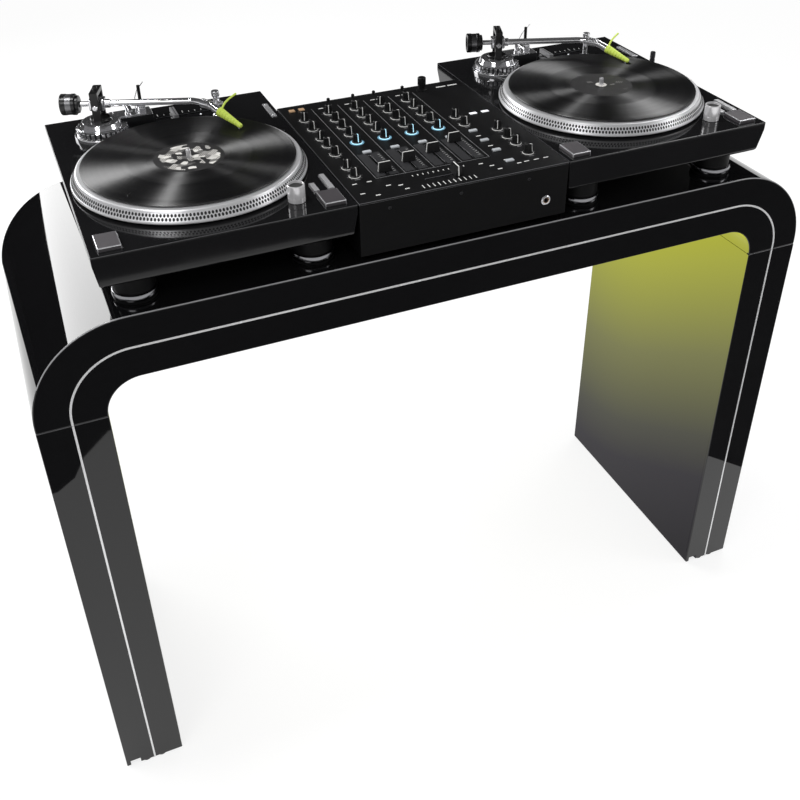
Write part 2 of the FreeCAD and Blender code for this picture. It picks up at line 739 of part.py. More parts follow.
def make_platter(deck, middle):
    """Platter with its spindle and bearing shaft, the slipmat and the record."""
    spot = (f"{middle} + platter_offset_side", "deck_mid + platter_offset_back")
    tip = "record_top + spindle_rise"
    underside = "platter_top - platter_web"
    wall = "platter_radius - platter_skirt"
    profile = [("0", tip), ("spindle_radius - spindle_tip", tip),
               ("spindle_radius", f"{tip} - spindle_tip"), ("spindle_radius", "record_top"),
               ("spindle_seat_radius", "record_top"), ("spindle_seat_radius", "platter_top"),
               ("platter_radius - rim_slope_width - rim_land_width", "platter_top"),
               ("platter_radius - rim_slope_width", "platter_top - rim_bevel"),
               ("platter_radius", "platter_lift + rim_lip"), ("platter_radius", "platter_lift"),
               (wall, "platter_lift"), (wall, underside), ("hub_radius", underside),
               ("hub_radius", "-hub_drop"), ("shaft_radius", "-hub_drop"),
               ("shaft_radius", "-shaft_drop"), ("0", "-shaft_drop")]
    platter = Piece(deck + "_platter")
    platter.spin(profile)
    keep(deck + "_platter", platter.place(*spot, "deck_top"))
    discs = {"slipmat": ("slipmat_radius", "slipmat_thickness", "platter_top"),
             "record": ("record_radius", "record_thickness", "platter_top + slipmat_thickness")}
    for name, (radius, thickness, level) in discs.items():
        disc = Piece(f"{deck}_{name}")
        rings = [("0", "0", radius), ("0", "0", "spindle_seat_radius + record_hole_gap")]
        disc.pad(disc.circles(rings), thickness)
        keep(f"{deck}_{name}", disc.place(*spot, f"deck_top + {level}"))


def make_gimbal(deck, middle):
    """Upright shaft and open yoke that carry the arm's level pivot."""
    piece = Piece(deck + "_arm_gimbal")
    piece.spin([("0", "fit_gap"), ("gimbal_shaft_radius", "fit_gap"),
                ("gimbal_shaft_radius", "yoke_bottom"), ("yoke_base_radius", "yoke_bottom"),
                ("yoke_base_radius", "yoke_window_bottom"), ("0", "yoke_window_bottom")])
    yoke = [("0", "(yoke_bottom + yoke_top) / 2", "yoke_width", "yoke_top - yoke_bottom"),
            ("0", "(yoke_window_bottom + yoke_window_top) / 2", "yoke_width - 2 * yoke_side",
             "yoke_window_top - yoke_window_bottom")]
    piece.pad(piece.rectangles(yoke, plane="YZ"), "yoke_depth", both=True)
    piece.pad(piece.circles([("0", "0", "yoke_screw_radius")], offset="yoke_top"), "yoke_screw_height")
    pin_hole = piece.circles([("0", "arm_height", "pivot_pin_radius + pin_clearance")], plane="XZ")
    piece.pocket(pin_hole, "yoke_width + 2 * cut_overrun", both=True)
    place = piece.place(f"{middle} + arm_side", "deck_mid + arm_back", "deck_top", yaw="arm_angle")
    keep(deck + "_arm_gimbal", place)


def on_arm(middle, along, across, up="0"):
    """Return the place of a point counted along and across the arm from its pivot."""
    turn_cos, turn_sin = "cos(arm_angle * 1 deg)", "sin(arm_angle * 1 deg)"
    side = f"{middle} + arm_side + ({along}) * {turn_cos} - ({across}) * {turn_sin}"
    back = f"deck_mid + arm_back + ({along}) * {turn_sin} + ({across}) * {turn_cos}"
    return side, back, f"deck_top + arm_height + {up}"


def make_tonearm(deck, middle):
    """Arm tube with its bend, pivot block, pins, rear stub and the collar that holds the cartridge."""
    tube = Piece(deck + "_arm_form")
    tube.pad(tube.rectangles([("0", "0", "block_width", "block_width")], plane="YZ"),
             "block_length", both=True)
    tube.pad(tube.circles([("0", "0", "pivot_pin_radius")], plane="XZ"),
             "yoke_width - 2 * fit_gap", both=True)
    tube.pad(tube.circles([("0", "0", "stub_radius")], plane="YZ"), "stub_length", back=True)
    path = tube.sketch("XY", "0")
    straight = Part.LineSegment(vector(0, 0, 0), vector(number("bend_start"), 0, 0))
    middle_point = vector(number("bend_start"), number("-bend_radius"), 0)
    circle = Part.Circle(middle_point, vector(0, 0, 1), number("bend_radius"))
    full_turn, quarter = Part.Circle().LastParameter, Part.Circle().LastParameter / 4
    turn = full_turn * number("bend_angle") / 360
    bend = Part.ArcOfCircle(circle, quarter - turn, quarter)
    neck = Part.LineSegment(vector(number("bend_end_along"), number("bend_end_across"), 0),
                            vector(number("neck_end_along"), number("neck_end_across"), 0))
    for edge in (straight, bend, neck):
        path.addGeometry(edge)
    path.addConstraint(Sketcher.Constraint("Coincident", 0, 2, 1, 2))
    path.addConstraint(Sketcher.Constraint("Coincident", 1, 1, 2, 1))
    tube.fix_point(path, 0, 1, ("0", "0"))
    tube.fix_point(path, 0, 2, ("bend_start", "0"))
    rule = path.addConstraint(Sketcher.Constraint("Radius", 1, number("bend_radius")))
    path.setExpression(f"Constraints[{rule}]", bound("bend_radius"))
    tube.fix_point(path, 2, 1, ("bend_end_along", "bend_end_across"))
    tube.fix_point(path, 2, 2, ("neck_end_along", "neck_end_across"))
    section = tube.circles([("0", "0", "arm_tube_radius")], plane="YZ")
    pipe = tube.body.newObject("PartDesign::AdditivePipe", "tube")
    pipe.Profile = section
    pipe.Spine = (path, ["Edge1", "Edge2", "Edge3"])
    doc.recompute()
    tube.place(*on_arm(middle, "0", "0"), yaw="arm_angle")

    collar = doc.addObject("Part::Cylinder", deck + "_collar_form")
    collar.setExpression("Radius", bound("collar_radius"))
    collar.setExpression("Height", bound("collar_length"))
    start = on_arm(middle, "neck_end_along", "neck_end_across")
    collar.setExpression("Placement", placement(*start, "head_angle", "90"))
    arm = doc.addObject("Part::Fuse", deck + "_tonearm")
    arm.Base = tube.body
    arm.Tool = collar
    keep(deck + "_tonearm", arm)

    weight = Piece(deck + "_counterweight")
    bore, groove = "stub_radius + pin_clearance", "weight_radius - weight_band_depth"
    bands = [f"{share} * weight_length" for share in WEIGHT_BAND_SHARES]
    weight.spin([(bore, "0"), ("weight_radius - weight_bevel", "0"), ("weight_radius", "weight_bevel"),
                 ("weight_radius", bands[0]), (groove, bands[1]), (groove, bands[2]),
                 ("weight_radius", bands[3]), ("weight_radius", "weight_length - weight_bevel"),
                 ("weight_radius - weight_bevel", "weight_length"),
                 ("weight_recess_radius", "weight_length"),
                 ("weight_recess_radius", "weight_length - weight_recess_depth"),
                 (bore, "weight_length - weight_recess_depth")])
    spot = on_arm(middle, "-weight_gap", "0")
    keep(deck + "_counterweight", weight.place(*spot, yaw="arm_angle", pitch="-90"))


def make_cartridge(deck, middle):
    """Tapered cartridge with its needle and finger lift, sloping down from the collar."""
    piece = Piece(deck + "_cartridge")
    piece.spin([(f"{radius} * cartridge_radius", f"{length} * cartridge_length")
                for length, radius in CARTRIDGE_SHARES])
    needle = piece.circles([("0", "needle_reach", "needle_radius")], plane="YZ")
    piece.pad(needle, "needle_length")
    path = piece.sketch("XY", "finger_lift_inset")
    curve = number("finger_lift_curve")
    circle = Part.Circle(vector(-curve, 0, 0), vector(0, 0, 1), curve)
    end = circle.parameter(vector(number("-finger_lift_rise"), number("finger_lift_length"), 0))
    path.addGeometry(Part.ArcOfCircle(circle, 0, end))
    piece.fix_point(path, 0, 1, ("0", "0"))
    piece.fix_point(path, 0, 2, ("-finger_lift_rise", "finger_lift_length"))
    rule = path.addConstraint(Sketcher.Constraint("Radius", 0, curve))
    path.setExpression(f"Constraints[{rule}]", bound("finger_lift_curve"))
    section = piece.circles([("0", "finger_lift_inset", "finger_lift_radius")], plane="XZ")
    pipe = piece.body.newObject("PartDesign::AdditivePipe", "finger_lift")
    pipe.Profile = section
    pipe.Spine = (path, ["Edge1"])
    doc.recompute()
    slope = "cartridge_slope * 1 deg"
    head = f"head_along + cartridge_gap * cos({slope}) * cos(bend_angle * 1 deg)"
    across = f"head_across - cartridge_gap * cos({slope}) * sin(bend_angle * 1 deg)"
    spot = on_arm(middle, head, across, f"-cartridge_gap * sin({slope})")
    keep(deck + "_cartridge", piece.place(*spot, yaw="head_angle", pitch="90 + cartridge_slope"))


def make_controls(deck, middle, peg_level):
    """Keys, pitch fader, power dial, target light and cue lever of one deck."""
    for rise, keys in (("key_rise", start_keys()), ("speed_key_rise", speed_keys())):
        for name, (side, back, width, length) in keys.items():
            key = Piece(f"{deck}_{name}")
            key.pad(key.rectangles([("0", "0", width, length)], offset="-key_depth"), f"key_depth + {rise}")
            keep(f"{deck}_{name}", key.place(f"{middle} + {side}", f"deck_mid + {back}", "deck_top"))

    fader = Piece(deck + "_pitch_fader")
    cap = fader.rectangles([("0", "0", "pitch_cap_width", "pitch_cap_length")], offset="pitch_cap_lift")
    fader.pad(cap, "pitch_cap_height")
    stem = fader.rectangles([("0", "0", "pitch_stem_width", "pitch_stem_thickness")], offset="pitch_cap_lift")
    fader.pad(stem, "pitch_stem_length", back=True)
    rest = f"{middle} + pitch_middle + {PITCH_REST_SHARE} * pitch_travel"
    keep(deck + "_pitch_fader", fader.place(rest, "deck_mid + pitch_back", "deck_top"))

    dial = Piece(deck + "_power_dial")
    dial.spin([("0", "-dial_stem_length"), ("dial_stem_radius", "-dial_stem_length"),
               ("dial_stem_radius", "fit_gap"), ("dial_radius", "fit_gap"), ("dial_radius", "dial_height"),
               ("dial_radius - dial_rim", "dial_height"),
               ("dial_radius - dial_rim", "dial_height - dial_recess"),
               ("0", "dial_height - dial_recess")])
    keep(deck + "_power_dial", dial.place(f"{middle} + dial_side", "deck_mid + dial_back", "deck_top"))

    peg = Piece(deck + "_target_light")
    peg.pad(peg.circles([("0", "0", "peg_radius")]), "peg_length", back=True)
    keep(deck + "_target_light",
         peg.place(f"{middle} + peg_side", "deck_mid + peg_back", f"deck_top + {peg_level}"))

    lever = Piece(deck + "_cue_lever")
    lever.pad(lever.circles([("0", "0", "cue_hub_radius")], plane="XZ"), "cue_hub_length", both=True)
    pin_length = "cue_hub_length + 2 * ear_thickness"
    lever.pad(lever.circles([("0", "0", "cue_pin_radius")], plane="XZ"), pin_length, both=True)
    lever.pad(lever.circles([("0", "0", "cue_stick_radius")]), "cue_length")
    keep(deck + "_cue_lever",
         lever.place(f"{middle} + arm_side + cue_pivot_side", "deck_mid + arm_back + cue_pivot_back",
                     "deck_top + cue_pivot_height"))


def arm_base_form():
    """Arm base with its height ring, lifter block, lifter bar and the ears of the cue lever."""
    piece = Piece("arm_base_form")
    ring_top = "arm_base_height + height_ring_height"
    piece.spin([("gimbal_bore_radius", "0"), ("arm_base_radius", "0"),
                ("arm_base_radius", "arm_base_height"), ("height_ring_radius", "arm_base_height"),
                ("height_ring_radius", ring_top), ("arm_dome_radius", ring_top),
                ("arm_dome_top_radius", "arm_base_top"), ("gimbal_bore_radius", "arm_base_top")])
    start = "arm_dome_radius / 2"
    block = (f"({start} + lifter_reach) / 2", "(lifter_front + lifter_back) / 2",
             f"lifter_reach - {start}", "lifter_back - lifter_front")
    piece.pad(piece.rectangles([block]), "lifter_height")
    bar_side = "lifter_bar_start + lifter_bar_width / 2"
    post = (bar_side, "lifter_bar_back - lifter_bar_post / 2", "lifter_bar_width", "lifter_bar_post")
    piece.pad(piece.rectangles([post]), "lifter_bar_top")
    bar = (bar_side, "(lifter_bar_front + lifter_bar_back) / 2", "lifter_bar_width",
           "lifter_bar_back - lifter_bar_front")
    piece.pad(piece.rectangles([bar], offset="lifter_bar_top"), "lifter_bar_thickness", back=True)
    apart = "cue_hub_length / 2 + fit_gap + ear_thickness / 2"
    ears = [("cue_pivot_side", f"cue_pivot_back {way} ({apart})", "ear_size", "ear_thickness")
            for way in "+-"]
    piece.pad(piece.rectangles(ears), "lifter_height + ear_size")
    pin = piece.circles([("cue_pivot_side", "cue_pivot_height", "cue_pin_radius + pin_clearance")],
                        plane="XZ", offset="-cue_pivot_back")
    piece.pocket(pin, "cue_hub_length + 2 * ear_thickness + 2 * cut_overrun", both=True)
    return piece.body


def arm_rest_form():
    """Post with a knob and a saddle under the parked arm."""
    piece = Piece("arm_rest_form")
    knob = "rest_height - rest_knob_height"
    piece.spin([("0", "0"), ("rest_base_radius", "0"), ("rest_base_radius", "rest_base_height"),
                ("rest_post_radius", "rest_base_height"), ("rest_post_radius", knob),
                ("rest_knob_radius", knob), ("rest_knob_radius", "rest_height"), ("0", "rest_height")])
    saddle = ("0", "-rest_saddle_length / 2", "rest_saddle_width", "rest_saddle_length")
    piece.pad(piece.rectangles([saddle], offset=knob), "rest_saddle_thickness", back=True)
    lip = ("0", "rest_saddle_thickness / 2 - rest_saddle_length", "rest_saddle_width", "rest_saddle_thickness")
    piece.pad(piece.rectangles([lip], offset=knob), "rest_lip_height")
    return piece.body


def make_deck_carriers():
    """Pieces that stand still on both decks: pans, feet, motors and arm bases."""
    pan = Piece("base_pan_form")
    cover = ("0", "0", "deck_width - 2 * plinth_wall - 2 * fit_gap", "deck_length - 2 * plinth_wall - 2 * fit_gap")
    pan.pad(pan.rectangles([cover]), "pan_thickness")
    notch = ("0", "deck_inlet_back + (cut_overrun - fit_gap) / 2", "inlet_width + 2 * fit_gap",
             "inlet_height + fit_gap + cut_overrun")
    pan.pocket(pan.rectangles([notch], offset="pan_thickness"), "pan_thickness")
    gather("base_pans", [(pan.body, spot) for spot in at_decks(up="-plinth_height")])

    foot = Piece("foot_pad_form")
    foot.spin([("0", "0"), ("foot_radius - foot_pad_inset", "0"),
               ("foot_radius - foot_pad_inset", "foot_pad_height"), ("foot_neck_radius", "foot_pad_height"),
               ("foot_neck_radius", "foot_height"), ("0", "foot_height")])
    ring = Piece("foot_ring_form")
    inside, top = "foot_neck_radius + foot_ring_gap", "foot_pad_height + foot_ring_height"
    ring.spin([(inside, "foot_pad_height"), ("foot_radius - foot_ring_bevel", "foot_pad_height"),
               ("foot_radius", "foot_pad_height + foot_ring_bevel"), ("foot_radius", f"{top} - foot_ring_bevel"),
               ("foot_radius - foot_ring_bevel", top), (inside, top)])
    mixer_foot = Piece("mixer_foot_form")
    mixer_foot.pad(mixer_foot.circles([("0", "0", "mixer_foot_radius")]), "mixer_foot_height")
    spots = []
    for way in SIDES:
        for row in SIDES:
            spots += at_decks(f"{way}(deck_width / 2 - foot_inset_side)",
                              f"{row}(deck_length / 2 - foot_inset_front)", "-plinth_height - foot_height")
    mixer_spots = [placement(f"{way}(mixer_width / 2 - mixer_foot_inset)",
                             f"mixer_mid + {row}(mixer_depth / 2 - mixer_foot_inset)", "stand_height")
                   for way in SIDES for row in SIDES]
    gather("foot_pads", [(foot.body, spot) for spot in spots] + [(mixer_foot.body, spot) for spot in mixer_spots])
    gather("foot_rings", [(ring.body, spot) for spot in spots])

    motor = Piece("drive_motor_form")
    bore, flange = "shaft_radius + pin_clearance", "motor_opening_radius + motor_flange_overlap"
    thrust = "-shaft_drop - fit_gap"
    underside = "-deck_skin - motor_flange_height"
    motor.spin([(bore, "-deck_skin"), (flange, "-deck_skin"), (flange, underside), ("motor_radius", underside),
                ("motor_radius", f"{thrust} - motor_floor"), ("0", f"{thrust} - motor_floor"),
                ("0", thrust), (bore, thrust)])
    hubs = at_decks("platter_offset_side", "platter_offset_back")
    gather("drive_motors", [(motor.body, spot) for spot in hubs])

    copies = [(arm_base_form(), spot) for spot in at_decks("arm_side", "arm_back")]
    copies += [(arm_rest_form(), spot) for spot in at_decks("rest_side", "arm_back")]
    gather("arm_bases", copies)


def on_mixer(side, back, up="0"):
    """Return a place counted from the middle of the mixer's face."""
    return side, f"mixer_mid + {back}", f"deck_top + {up}"


def strip(channel):
    """Return where a channel strip stands across the mixer."""
    return f"strip_side + {channel} * strip_pitch"


def make_mixer_shell():
    """Case and faceplate with the slots and bores of the moving controls."""
    case = Piece("mixer_case")
    case.pad(case.rectangles([("0", "0", "mixer_width", "mixer_depth")], offset="-mixer_height"), "case_height")
    inside = ("0", "0", "mixer_width - 2 * mixer_wall", "mixer_depth - 2 * mixer_wall")
    case.pocket(case.rectangles([inside], offset="-faceplate_thickness"), "case_height - mixer_wall")
    jack = case.circles([("mixer_width / 2 - jack_inset", "-jack_drop", "jack_barrel_radius + fit_gap")],
                        plane="XZ", offset="mixer_depth / 2")
    case.pocket(jack, "mixer_wall + cut_overrun")
    phonos = [(side, up, "phono_radius + fit_gap") for side, up in phono_grid()]
    case.pocket(case.circles(phonos, plane="XZ", offset="-mixer_depth / 2"), "mixer_wall + cut_overrun", back=True)
    inlet = ("inlet_side", "-mixer_height / 2", "inlet_height + 2 * fit_gap", "inlet_width + 2 * fit_gap")
    case.pocket(case.rectangles([inlet], plane="XZ", offset="-mixer_depth / 2"),
                "mixer_wall + cut_overrun", back=True)
    keep("mixer_case", case.place(*on_mixer("0", "0")))

    plate = Piece("mixer_faceplate")
    plate.pad(plate.rectangles([("0", "0", "mixer_width", "mixer_depth")]), "faceplate_thickness", back=True)
    thick, long = "fader_stem_thickness + 2 * slot_clearance", "fader_stem_width + 2 * slot_clearance"
    slots = [(strip(channel), "fader_row", thick, f"fader_travel + {long}") for channel in CHANNELS]
    slots.append(("crossfader_side", "crossfader_row", f"crossfader_travel + {long}", thick))
    plate.pocket(plate.rectangles(slots), "faceplate_thickness")
    bores = [(strip(channel), "filter_row", "knob_shaft_radius + pin_clearance") for channel in CHANNELS]
    plate.pocket(plate.circles(bores), "faceplate_thickness")
    keep("mixer_faceplate", plate.place(*on_mixer("0", "0")))


def phono_grid():
    """Return side and height of the sockets on the mixer's back."""
    return [(f"{column} * phono_pitch - 1.5 * phono_pitch - jack_inset",
             f"-phono_row_drop - {row} * phono_row_pitch") for column in CHANNELS for row in range(2)]


def fader_cap(label, turned):
    """Tapered cap on a flat stem, lying across its slot."""
    cap = Piece(label)
    width, length = "fader_cap_width", "fader_cap_length"
    stem_width, stem_length = "fader_stem_thickness", "fader_stem_width"
    if turned:
        width, length, stem_width, stem_length = length, width, stem_length, stem_width
    cap.pad(cap.rectangles([("0", "0", width, length)], offset="fader_cap_lift"),
            "fader_cap_height", taper="-fader_cap_taper")
    cap.pad(cap.rectangles([("0", "0", stem_width, stem_length)], offset="fader_cap_lift"),
            "fader_stem_length", back=True)
    return cap


def knob_profile(bottom):
    """Return the outline of a knob with a skirt that starts at a given level."""
    return [("knob_skirt_radius", bottom), ("knob_skirt_radius", "knob_skirt_height"),
            ("knob_radius", "knob_skirt_height"), ("knob_radius - knob_taper", "knob_height"),
            ("0", "knob_height")]


def make_mixer_controls():
    """Faders, filter knobs, the other knobs and the push buttons."""
    for channel, share in zip(CHANNELS, FADER_REST_SHARES):
        label = f"channel_{channel + 1}_fader"
        cap = fader_cap(label, turned=False)
        spot = on_mixer(strip(channel), f"fader_row + {share} * fader_travel")
        keep(label, cap.place(*spot))
        knob = Piece(f"channel_{channel + 1}_filter")
        knob.spin([("0", "-knob_shaft_length"), ("knob_shaft_radius", "-knob_shaft_length"),
                   ("knob_shaft_radius", "fit_gap")] + knob_profile("fit_gap"))
        keep(f"channel_{channel + 1}_filter", knob.place(*on_mixer(strip(channel), "filter_row")))
    cross = fader_cap("crossfader", turned=True)
    spot = on_mixer(f"crossfader_side + {CROSSFADER_REST_SHARE} * crossfader_travel", "crossfader_row")
    keep("crossfader", cross.place(*spot))

    knob = Piece("rotary_knob_form")
    knob.spin([("0", "0")] + knob_profile("0"))
    tall = Piece("tall_knob_form")
    tall.pad(tall.circles([("0", "0", "tall_knob_radius")]), "tall_knob_height")
    spots = [(strip(channel), f"trim_row - {row} * knob_row_pitch") for channel in CHANNELS for row in range(4)]
    columns = (("left_column_inset - mixer_width / 2", LEFT_COLUMN_SHARES),
               ("mixer_width / 2 - right_column_inset", RIGHT_COLUMN_SHARES),
               ("mixer_width / 2 - effect_column_inset", EFFECT_COLUMN_SHARES))
    for side, shares in columns:
        spots += [(side, f"{share} * mixer_depth") for share in shares]
    copies = [(knob.body, placement(*on_mixer(*spot))) for spot in spots]
    tall_spot = on_mixer("mixer_width / 2 - effect_column_inset", f"{TALL_KNOB_SHARE} * mixer_depth")
    copies.append((tall.body, placement(*tall_spot)))
    gather("rotary_knobs", copies)

    button = Piece("cue_button_form")
    button.pad(button.rectangles([("0", "0", "cue_button_width", "cue_button_length")]), "cue_button_height")
    spots = [(strip(channel), "cue_row") for channel in CHANNELS]
    spots += [("mixer_width / 2 - effect_column_inset", f"{share} * mixer_depth") for share in BUTTON_COLUMN_SHARES]
    gather("cue_buttons", [(button.body, placement(*on_mixer(*spot))) for spot in spots])


def make_sockets_and_boards():
    """Headphone socket, phono sockets, mains inlets and the circuit boards inside."""
    jack = Piece("headphone_socket_form")
    jack.spin([("jack_bore_radius", "-jack_flange_height"), ("jack_flange_radius", "-jack_flange_height"),
               ("jack_flange_radius", "0"), ("jack_barrel_radius", "0"), ("jack_barrel_radius", "jack_length"),
               ("jack_bore_radius", "jack_length")])
    phono = Piece("phono_socket_form")
    phono.pad(phono.circles([("0", "0", "phono_radius"), ("0", "0", "phono_bore_radius")]), "phono_length")
    inlet = Piece("mains_inlet_form")
    inlet.pad(inlet.rectangles([("0", "0", "inlet_width", "inlet_height")]), "inlet_depth")
    well = ("0", "0", "inlet_width - 4 * mixer_wall", "inlet_height - 4 * mixer_wall")
    inlet.pocket(inlet.rectangles([well]), "inlet_depth - 2 * mixer_wall", back=True)
    front, rear = "-mixer_depth / 2", "mixer_depth / 2"
    sockets = [(jack.body, placement(*on_mixer("mixer_width / 2 - jack_inset", front, "-jack_drop"), "90", "90"))]
    sockets += [(phono.body, placement(*on_mixer(side, f"{rear} - phono_length", up), "90", "90"))
                for side, up in phono_grid()]
    sockets.append((inlet.body, placement(*on_mixer("inlet_side", rear, "-mixer_height / 2"), "-90", "90")))
    sockets += [(inlet.body, spot) for spot in at_decks(back="deck_inlet_back", up="-plinth_height")]
    gather("panel_sockets", sockets)

    boards = []
    sizes = {"mixer_board_form": ("mixer_width - 2 * board_margin", "mixer_depth - 2 * board_margin"),
             "deck_board_form": ("deck_board_width", "deck_board_length")}
    for label, (width, length) in sizes.items():
        board = Piece(label)
        board.pad(board.rectangles([("0", "0", width, length)], offset="board_lift"), "board_thickness")
        posts = [(f"{way}(({width}) / 2 - 2 * board_post_radius)",
                  f"{row}(({length}) / 2 - 2 * board_post_radius)", "board_post_radius")
                 for way in SIDES for row in SIDES]
        board.pad(board.circles(posts), "board_lift")
        block = ("0", "0", f"({width}) / 3", f"({length}) / 3")
        board.pad(board.rectangles([block], offset="board_lift + board_thickness"), "board_block_height")
        boards.append(board.body)
    copies = [(boards[0], placement(*on_mixer("0", "0", "mixer_wall - mixer_height")))]
    under_deck = at_decks("deck_board_side", up="pan_thickness - plinth_height")
    copies += [(boards[1], spot) for spot in under_deck]
    gather("circuit_boards", copies)


def check_and_write():
    """Stop on any failed object or shape, then write each node's solids."""
    doc.recompute()
    for item in doc.Objects:
        if {"Invalid", "Error"} & set(item.State):
            owner = item.getParentGeoFeatureGroup()
            raise RuntimeError(f"{item.Label} of {owner and owner.Label} failed: {item.State}")
    os.makedirs("parts", exist_ok=True)
    for label, item in nodes.items():
        shape = item.Shape
        if shape.isNull() or not shape.isValid() or not shape.Solids:
            raise RuntimeError(f"{label} has no valid solid")
        shape.exportStep(f"parts/{label}.step")
    print(f"{len(nodes)} nodes written")


make_stand()
for deck_name, deck_middle in DECKS.items():
    make_plinth(deck_name, deck_middle)
    make_platter(deck_name, deck_middle)
    make_gimbal(deck_name, deck_middle)
    make_tonearm(deck_name, deck_middle)
    make_cartridge(deck_name, deck_middle)
make_controls("deck_a", DECKS["deck_a"], "peg_stub")
make_controls("deck_b", DECKS["deck_b"], "peg_rise")
make_deck_carriers()
make_mixer_shell()
make_mixer_controls()
make_sockets_and_boards()
check_and_write()
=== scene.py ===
"""Looks of a booth: a gloss black bridge with two turntables and a four-channel mixer on it.

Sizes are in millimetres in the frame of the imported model, with X to the player's right, Y away
from the player and Z up. The modelling helpers turn them into metres.
"""

import json
import logging
import math
from contextlib import contextmanager
from dataclasses import dataclass, replace
from enum import Enum
from typing import Any, Callable, Iterator, Sequence

import bmesh
import bpy
from mathutils import Matrix, Vector


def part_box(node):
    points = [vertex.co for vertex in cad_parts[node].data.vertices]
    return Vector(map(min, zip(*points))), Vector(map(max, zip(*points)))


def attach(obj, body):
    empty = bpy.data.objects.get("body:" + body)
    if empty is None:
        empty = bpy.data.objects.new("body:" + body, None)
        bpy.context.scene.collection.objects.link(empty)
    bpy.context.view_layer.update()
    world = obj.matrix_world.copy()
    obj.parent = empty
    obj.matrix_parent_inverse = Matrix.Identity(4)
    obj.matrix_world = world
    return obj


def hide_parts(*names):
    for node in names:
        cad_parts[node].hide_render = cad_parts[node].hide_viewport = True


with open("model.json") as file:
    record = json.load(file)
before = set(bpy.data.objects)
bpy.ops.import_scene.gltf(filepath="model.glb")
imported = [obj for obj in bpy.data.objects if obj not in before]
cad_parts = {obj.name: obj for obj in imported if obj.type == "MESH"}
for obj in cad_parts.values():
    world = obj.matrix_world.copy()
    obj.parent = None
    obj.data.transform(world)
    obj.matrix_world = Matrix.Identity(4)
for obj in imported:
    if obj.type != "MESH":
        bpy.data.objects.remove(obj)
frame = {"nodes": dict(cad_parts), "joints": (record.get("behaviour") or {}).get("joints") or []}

MM = 0.001
FULL_TURN = 2 * math.pi
SHARP = math.radians(35)
FLAT = math.radians(0.5)
WELD = 1e-6
TUBE_RESOLUTION = 5
DECODE_LIMIT, DECODE_SLOPE = 0.04045, 12.92
DECODE_OFFSET, DECODE_POWER = 0.055, 2.4
LOG = logging.getLogger("booth")
Solid = bpy.types.Object
Pair = tuple[float, float]
Triple = tuple[float, float, float]
Test = Callable[[Vector, Vector], bool]


class Kind(Enum):
    """What an edit-mode selection is made of."""

    VERT = "VERT"
    EDGE = "EDGE"
    FACE = "FACE"


def only(*pieces: Solid) -> None:
    """Selects these pieces alone and makes the first one active.

    Args:
        pieces: The objects to select.
    """
    bpy.ops.object.select_all(action="DESELECT")
    for piece in pieces:
        piece.select_set(True)
    bpy.context.view_layer.objects.active = pieces[0]


@contextmanager
def editing(piece: Solid) -> Iterator[None]:
    """Opens a piece in edit mode with all of its vertices selected.

    Args:
        piece: The mesh object to edit.
    """
    only(piece)
    bpy.ops.object.mode_set(mode="EDIT")
    bpy.ops.mesh.select_mode(type=Kind.VERT.value)
    bpy.ops.mesh.select_all(action="SELECT")
    yield
    bpy.ops.object.mode_set(mode="OBJECT")


def pick(piece: Solid, kind: Kind, test: Test) -> None:
    """Selects the edges or faces of the piece in edit mode that pass a test.

    Args:
        piece: The mesh object in edit mode.
        kind: Edges or faces.
        test: Takes the middle in millimetres, and the face's normal or the edge's direction.
    """
    bpy.ops.mesh.select_mode(type=kind.value)
    bpy.ops.mesh.select_all(action="DESELECT")
    mesh = bmesh.from_edit_mesh(piece.data)
    if kind is Kind.FACE:
        for face in mesh.faces:
            face.select_set(test(face.calc_center_median() / MM, face.normal))
    else:
        for edge in mesh.edges:
            start, end = (vertex.co for vertex in edge.verts)
            edge.select_set(test((start + end) / (2 * MM), (end - start).normalized()))
    mesh.select_flush_mode()
    bmesh.update_edit_mesh(piece.data)


def tidy(piece: Solid) -> None:
    """Merges doubled vertices and turns all faces outwards.

    Args:
        piece: The mesh object to clean.
    """
    with editing(piece):
        bpy.ops.mesh.remove_doubles(threshold=WELD)
        bpy.ops.mesh.normals_make_consistent(inside=False)


def shade(piece: Solid, angle: float = SHARP) -> Solid:
    """Shades a piece smooth up to an angle, with the normals of its flat faces kept flat.

    Args:
        piece: The mesh object to shade.
        angle: Edges sharper than this stay sharp, in radians.

    Returns:
        The same piece.
    """
    only(piece)
    bpy.ops.object.shade_smooth_by_angle(angle=angle)
    bpy.ops.object.modifier_add(type="WEIGHTED_NORMAL")
    piece.modifiers[-1].keep_sharp = True
    bpy.ops.object.modifier_apply(modifier=piece.modifiers[-1].name)
    return piece


def soften(piece: Solid, width: float, segments: int = 2, edge_slot: int = -1) -> Solid:
    """Rounds the sharp edges of a piece and shades it.

    Args:
        piece: The mesh object to round.
        width: Width of the rounding in millimetres.
        segments: Faces across the rounding.
        edge_slot: Material slot of the rounding, or -1 for the neighbouring face's.

    Returns:
        The same piece.
    """
    only(piece)
    bpy.ops.object.modifier_add(type="BEVEL")
    bevel = piece.modifiers[-1]
    bevel.width = width * MM
    bevel.segments = segments
    bevel.limit_method = "ANGLE"
    bevel.angle_limit = SHARP
    bevel.use_clamp_overlap = False
    bevel.material = edge_slot
    bpy.ops.object.modifier_apply(modifier=bevel.name)
    return shade(piece)


def place(x: float, y: float, z: float, turn: float = 0.0) -> Matrix:
    """Gives the matrix of a place in millimetres, turned about Z by some degrees."""
    return Matrix.Translation(Vector((x, y, z)) * MM) @ Matrix.Rotation(math.radians(turn), 4, "Z")


def settle(piece: Solid, where: Matrix) -> Solid:
    """Moves a piece and applies the move to its mesh.

    Args:
        piece: The mesh object, at the origin.
        where: Its new place.

    Returns:
        The same piece, at the origin again.
    """
    only(piece)
    piece.matrix_world = where
    bpy.ops.object.transform_apply(location=True, rotation=True, scale=True)
    return piece


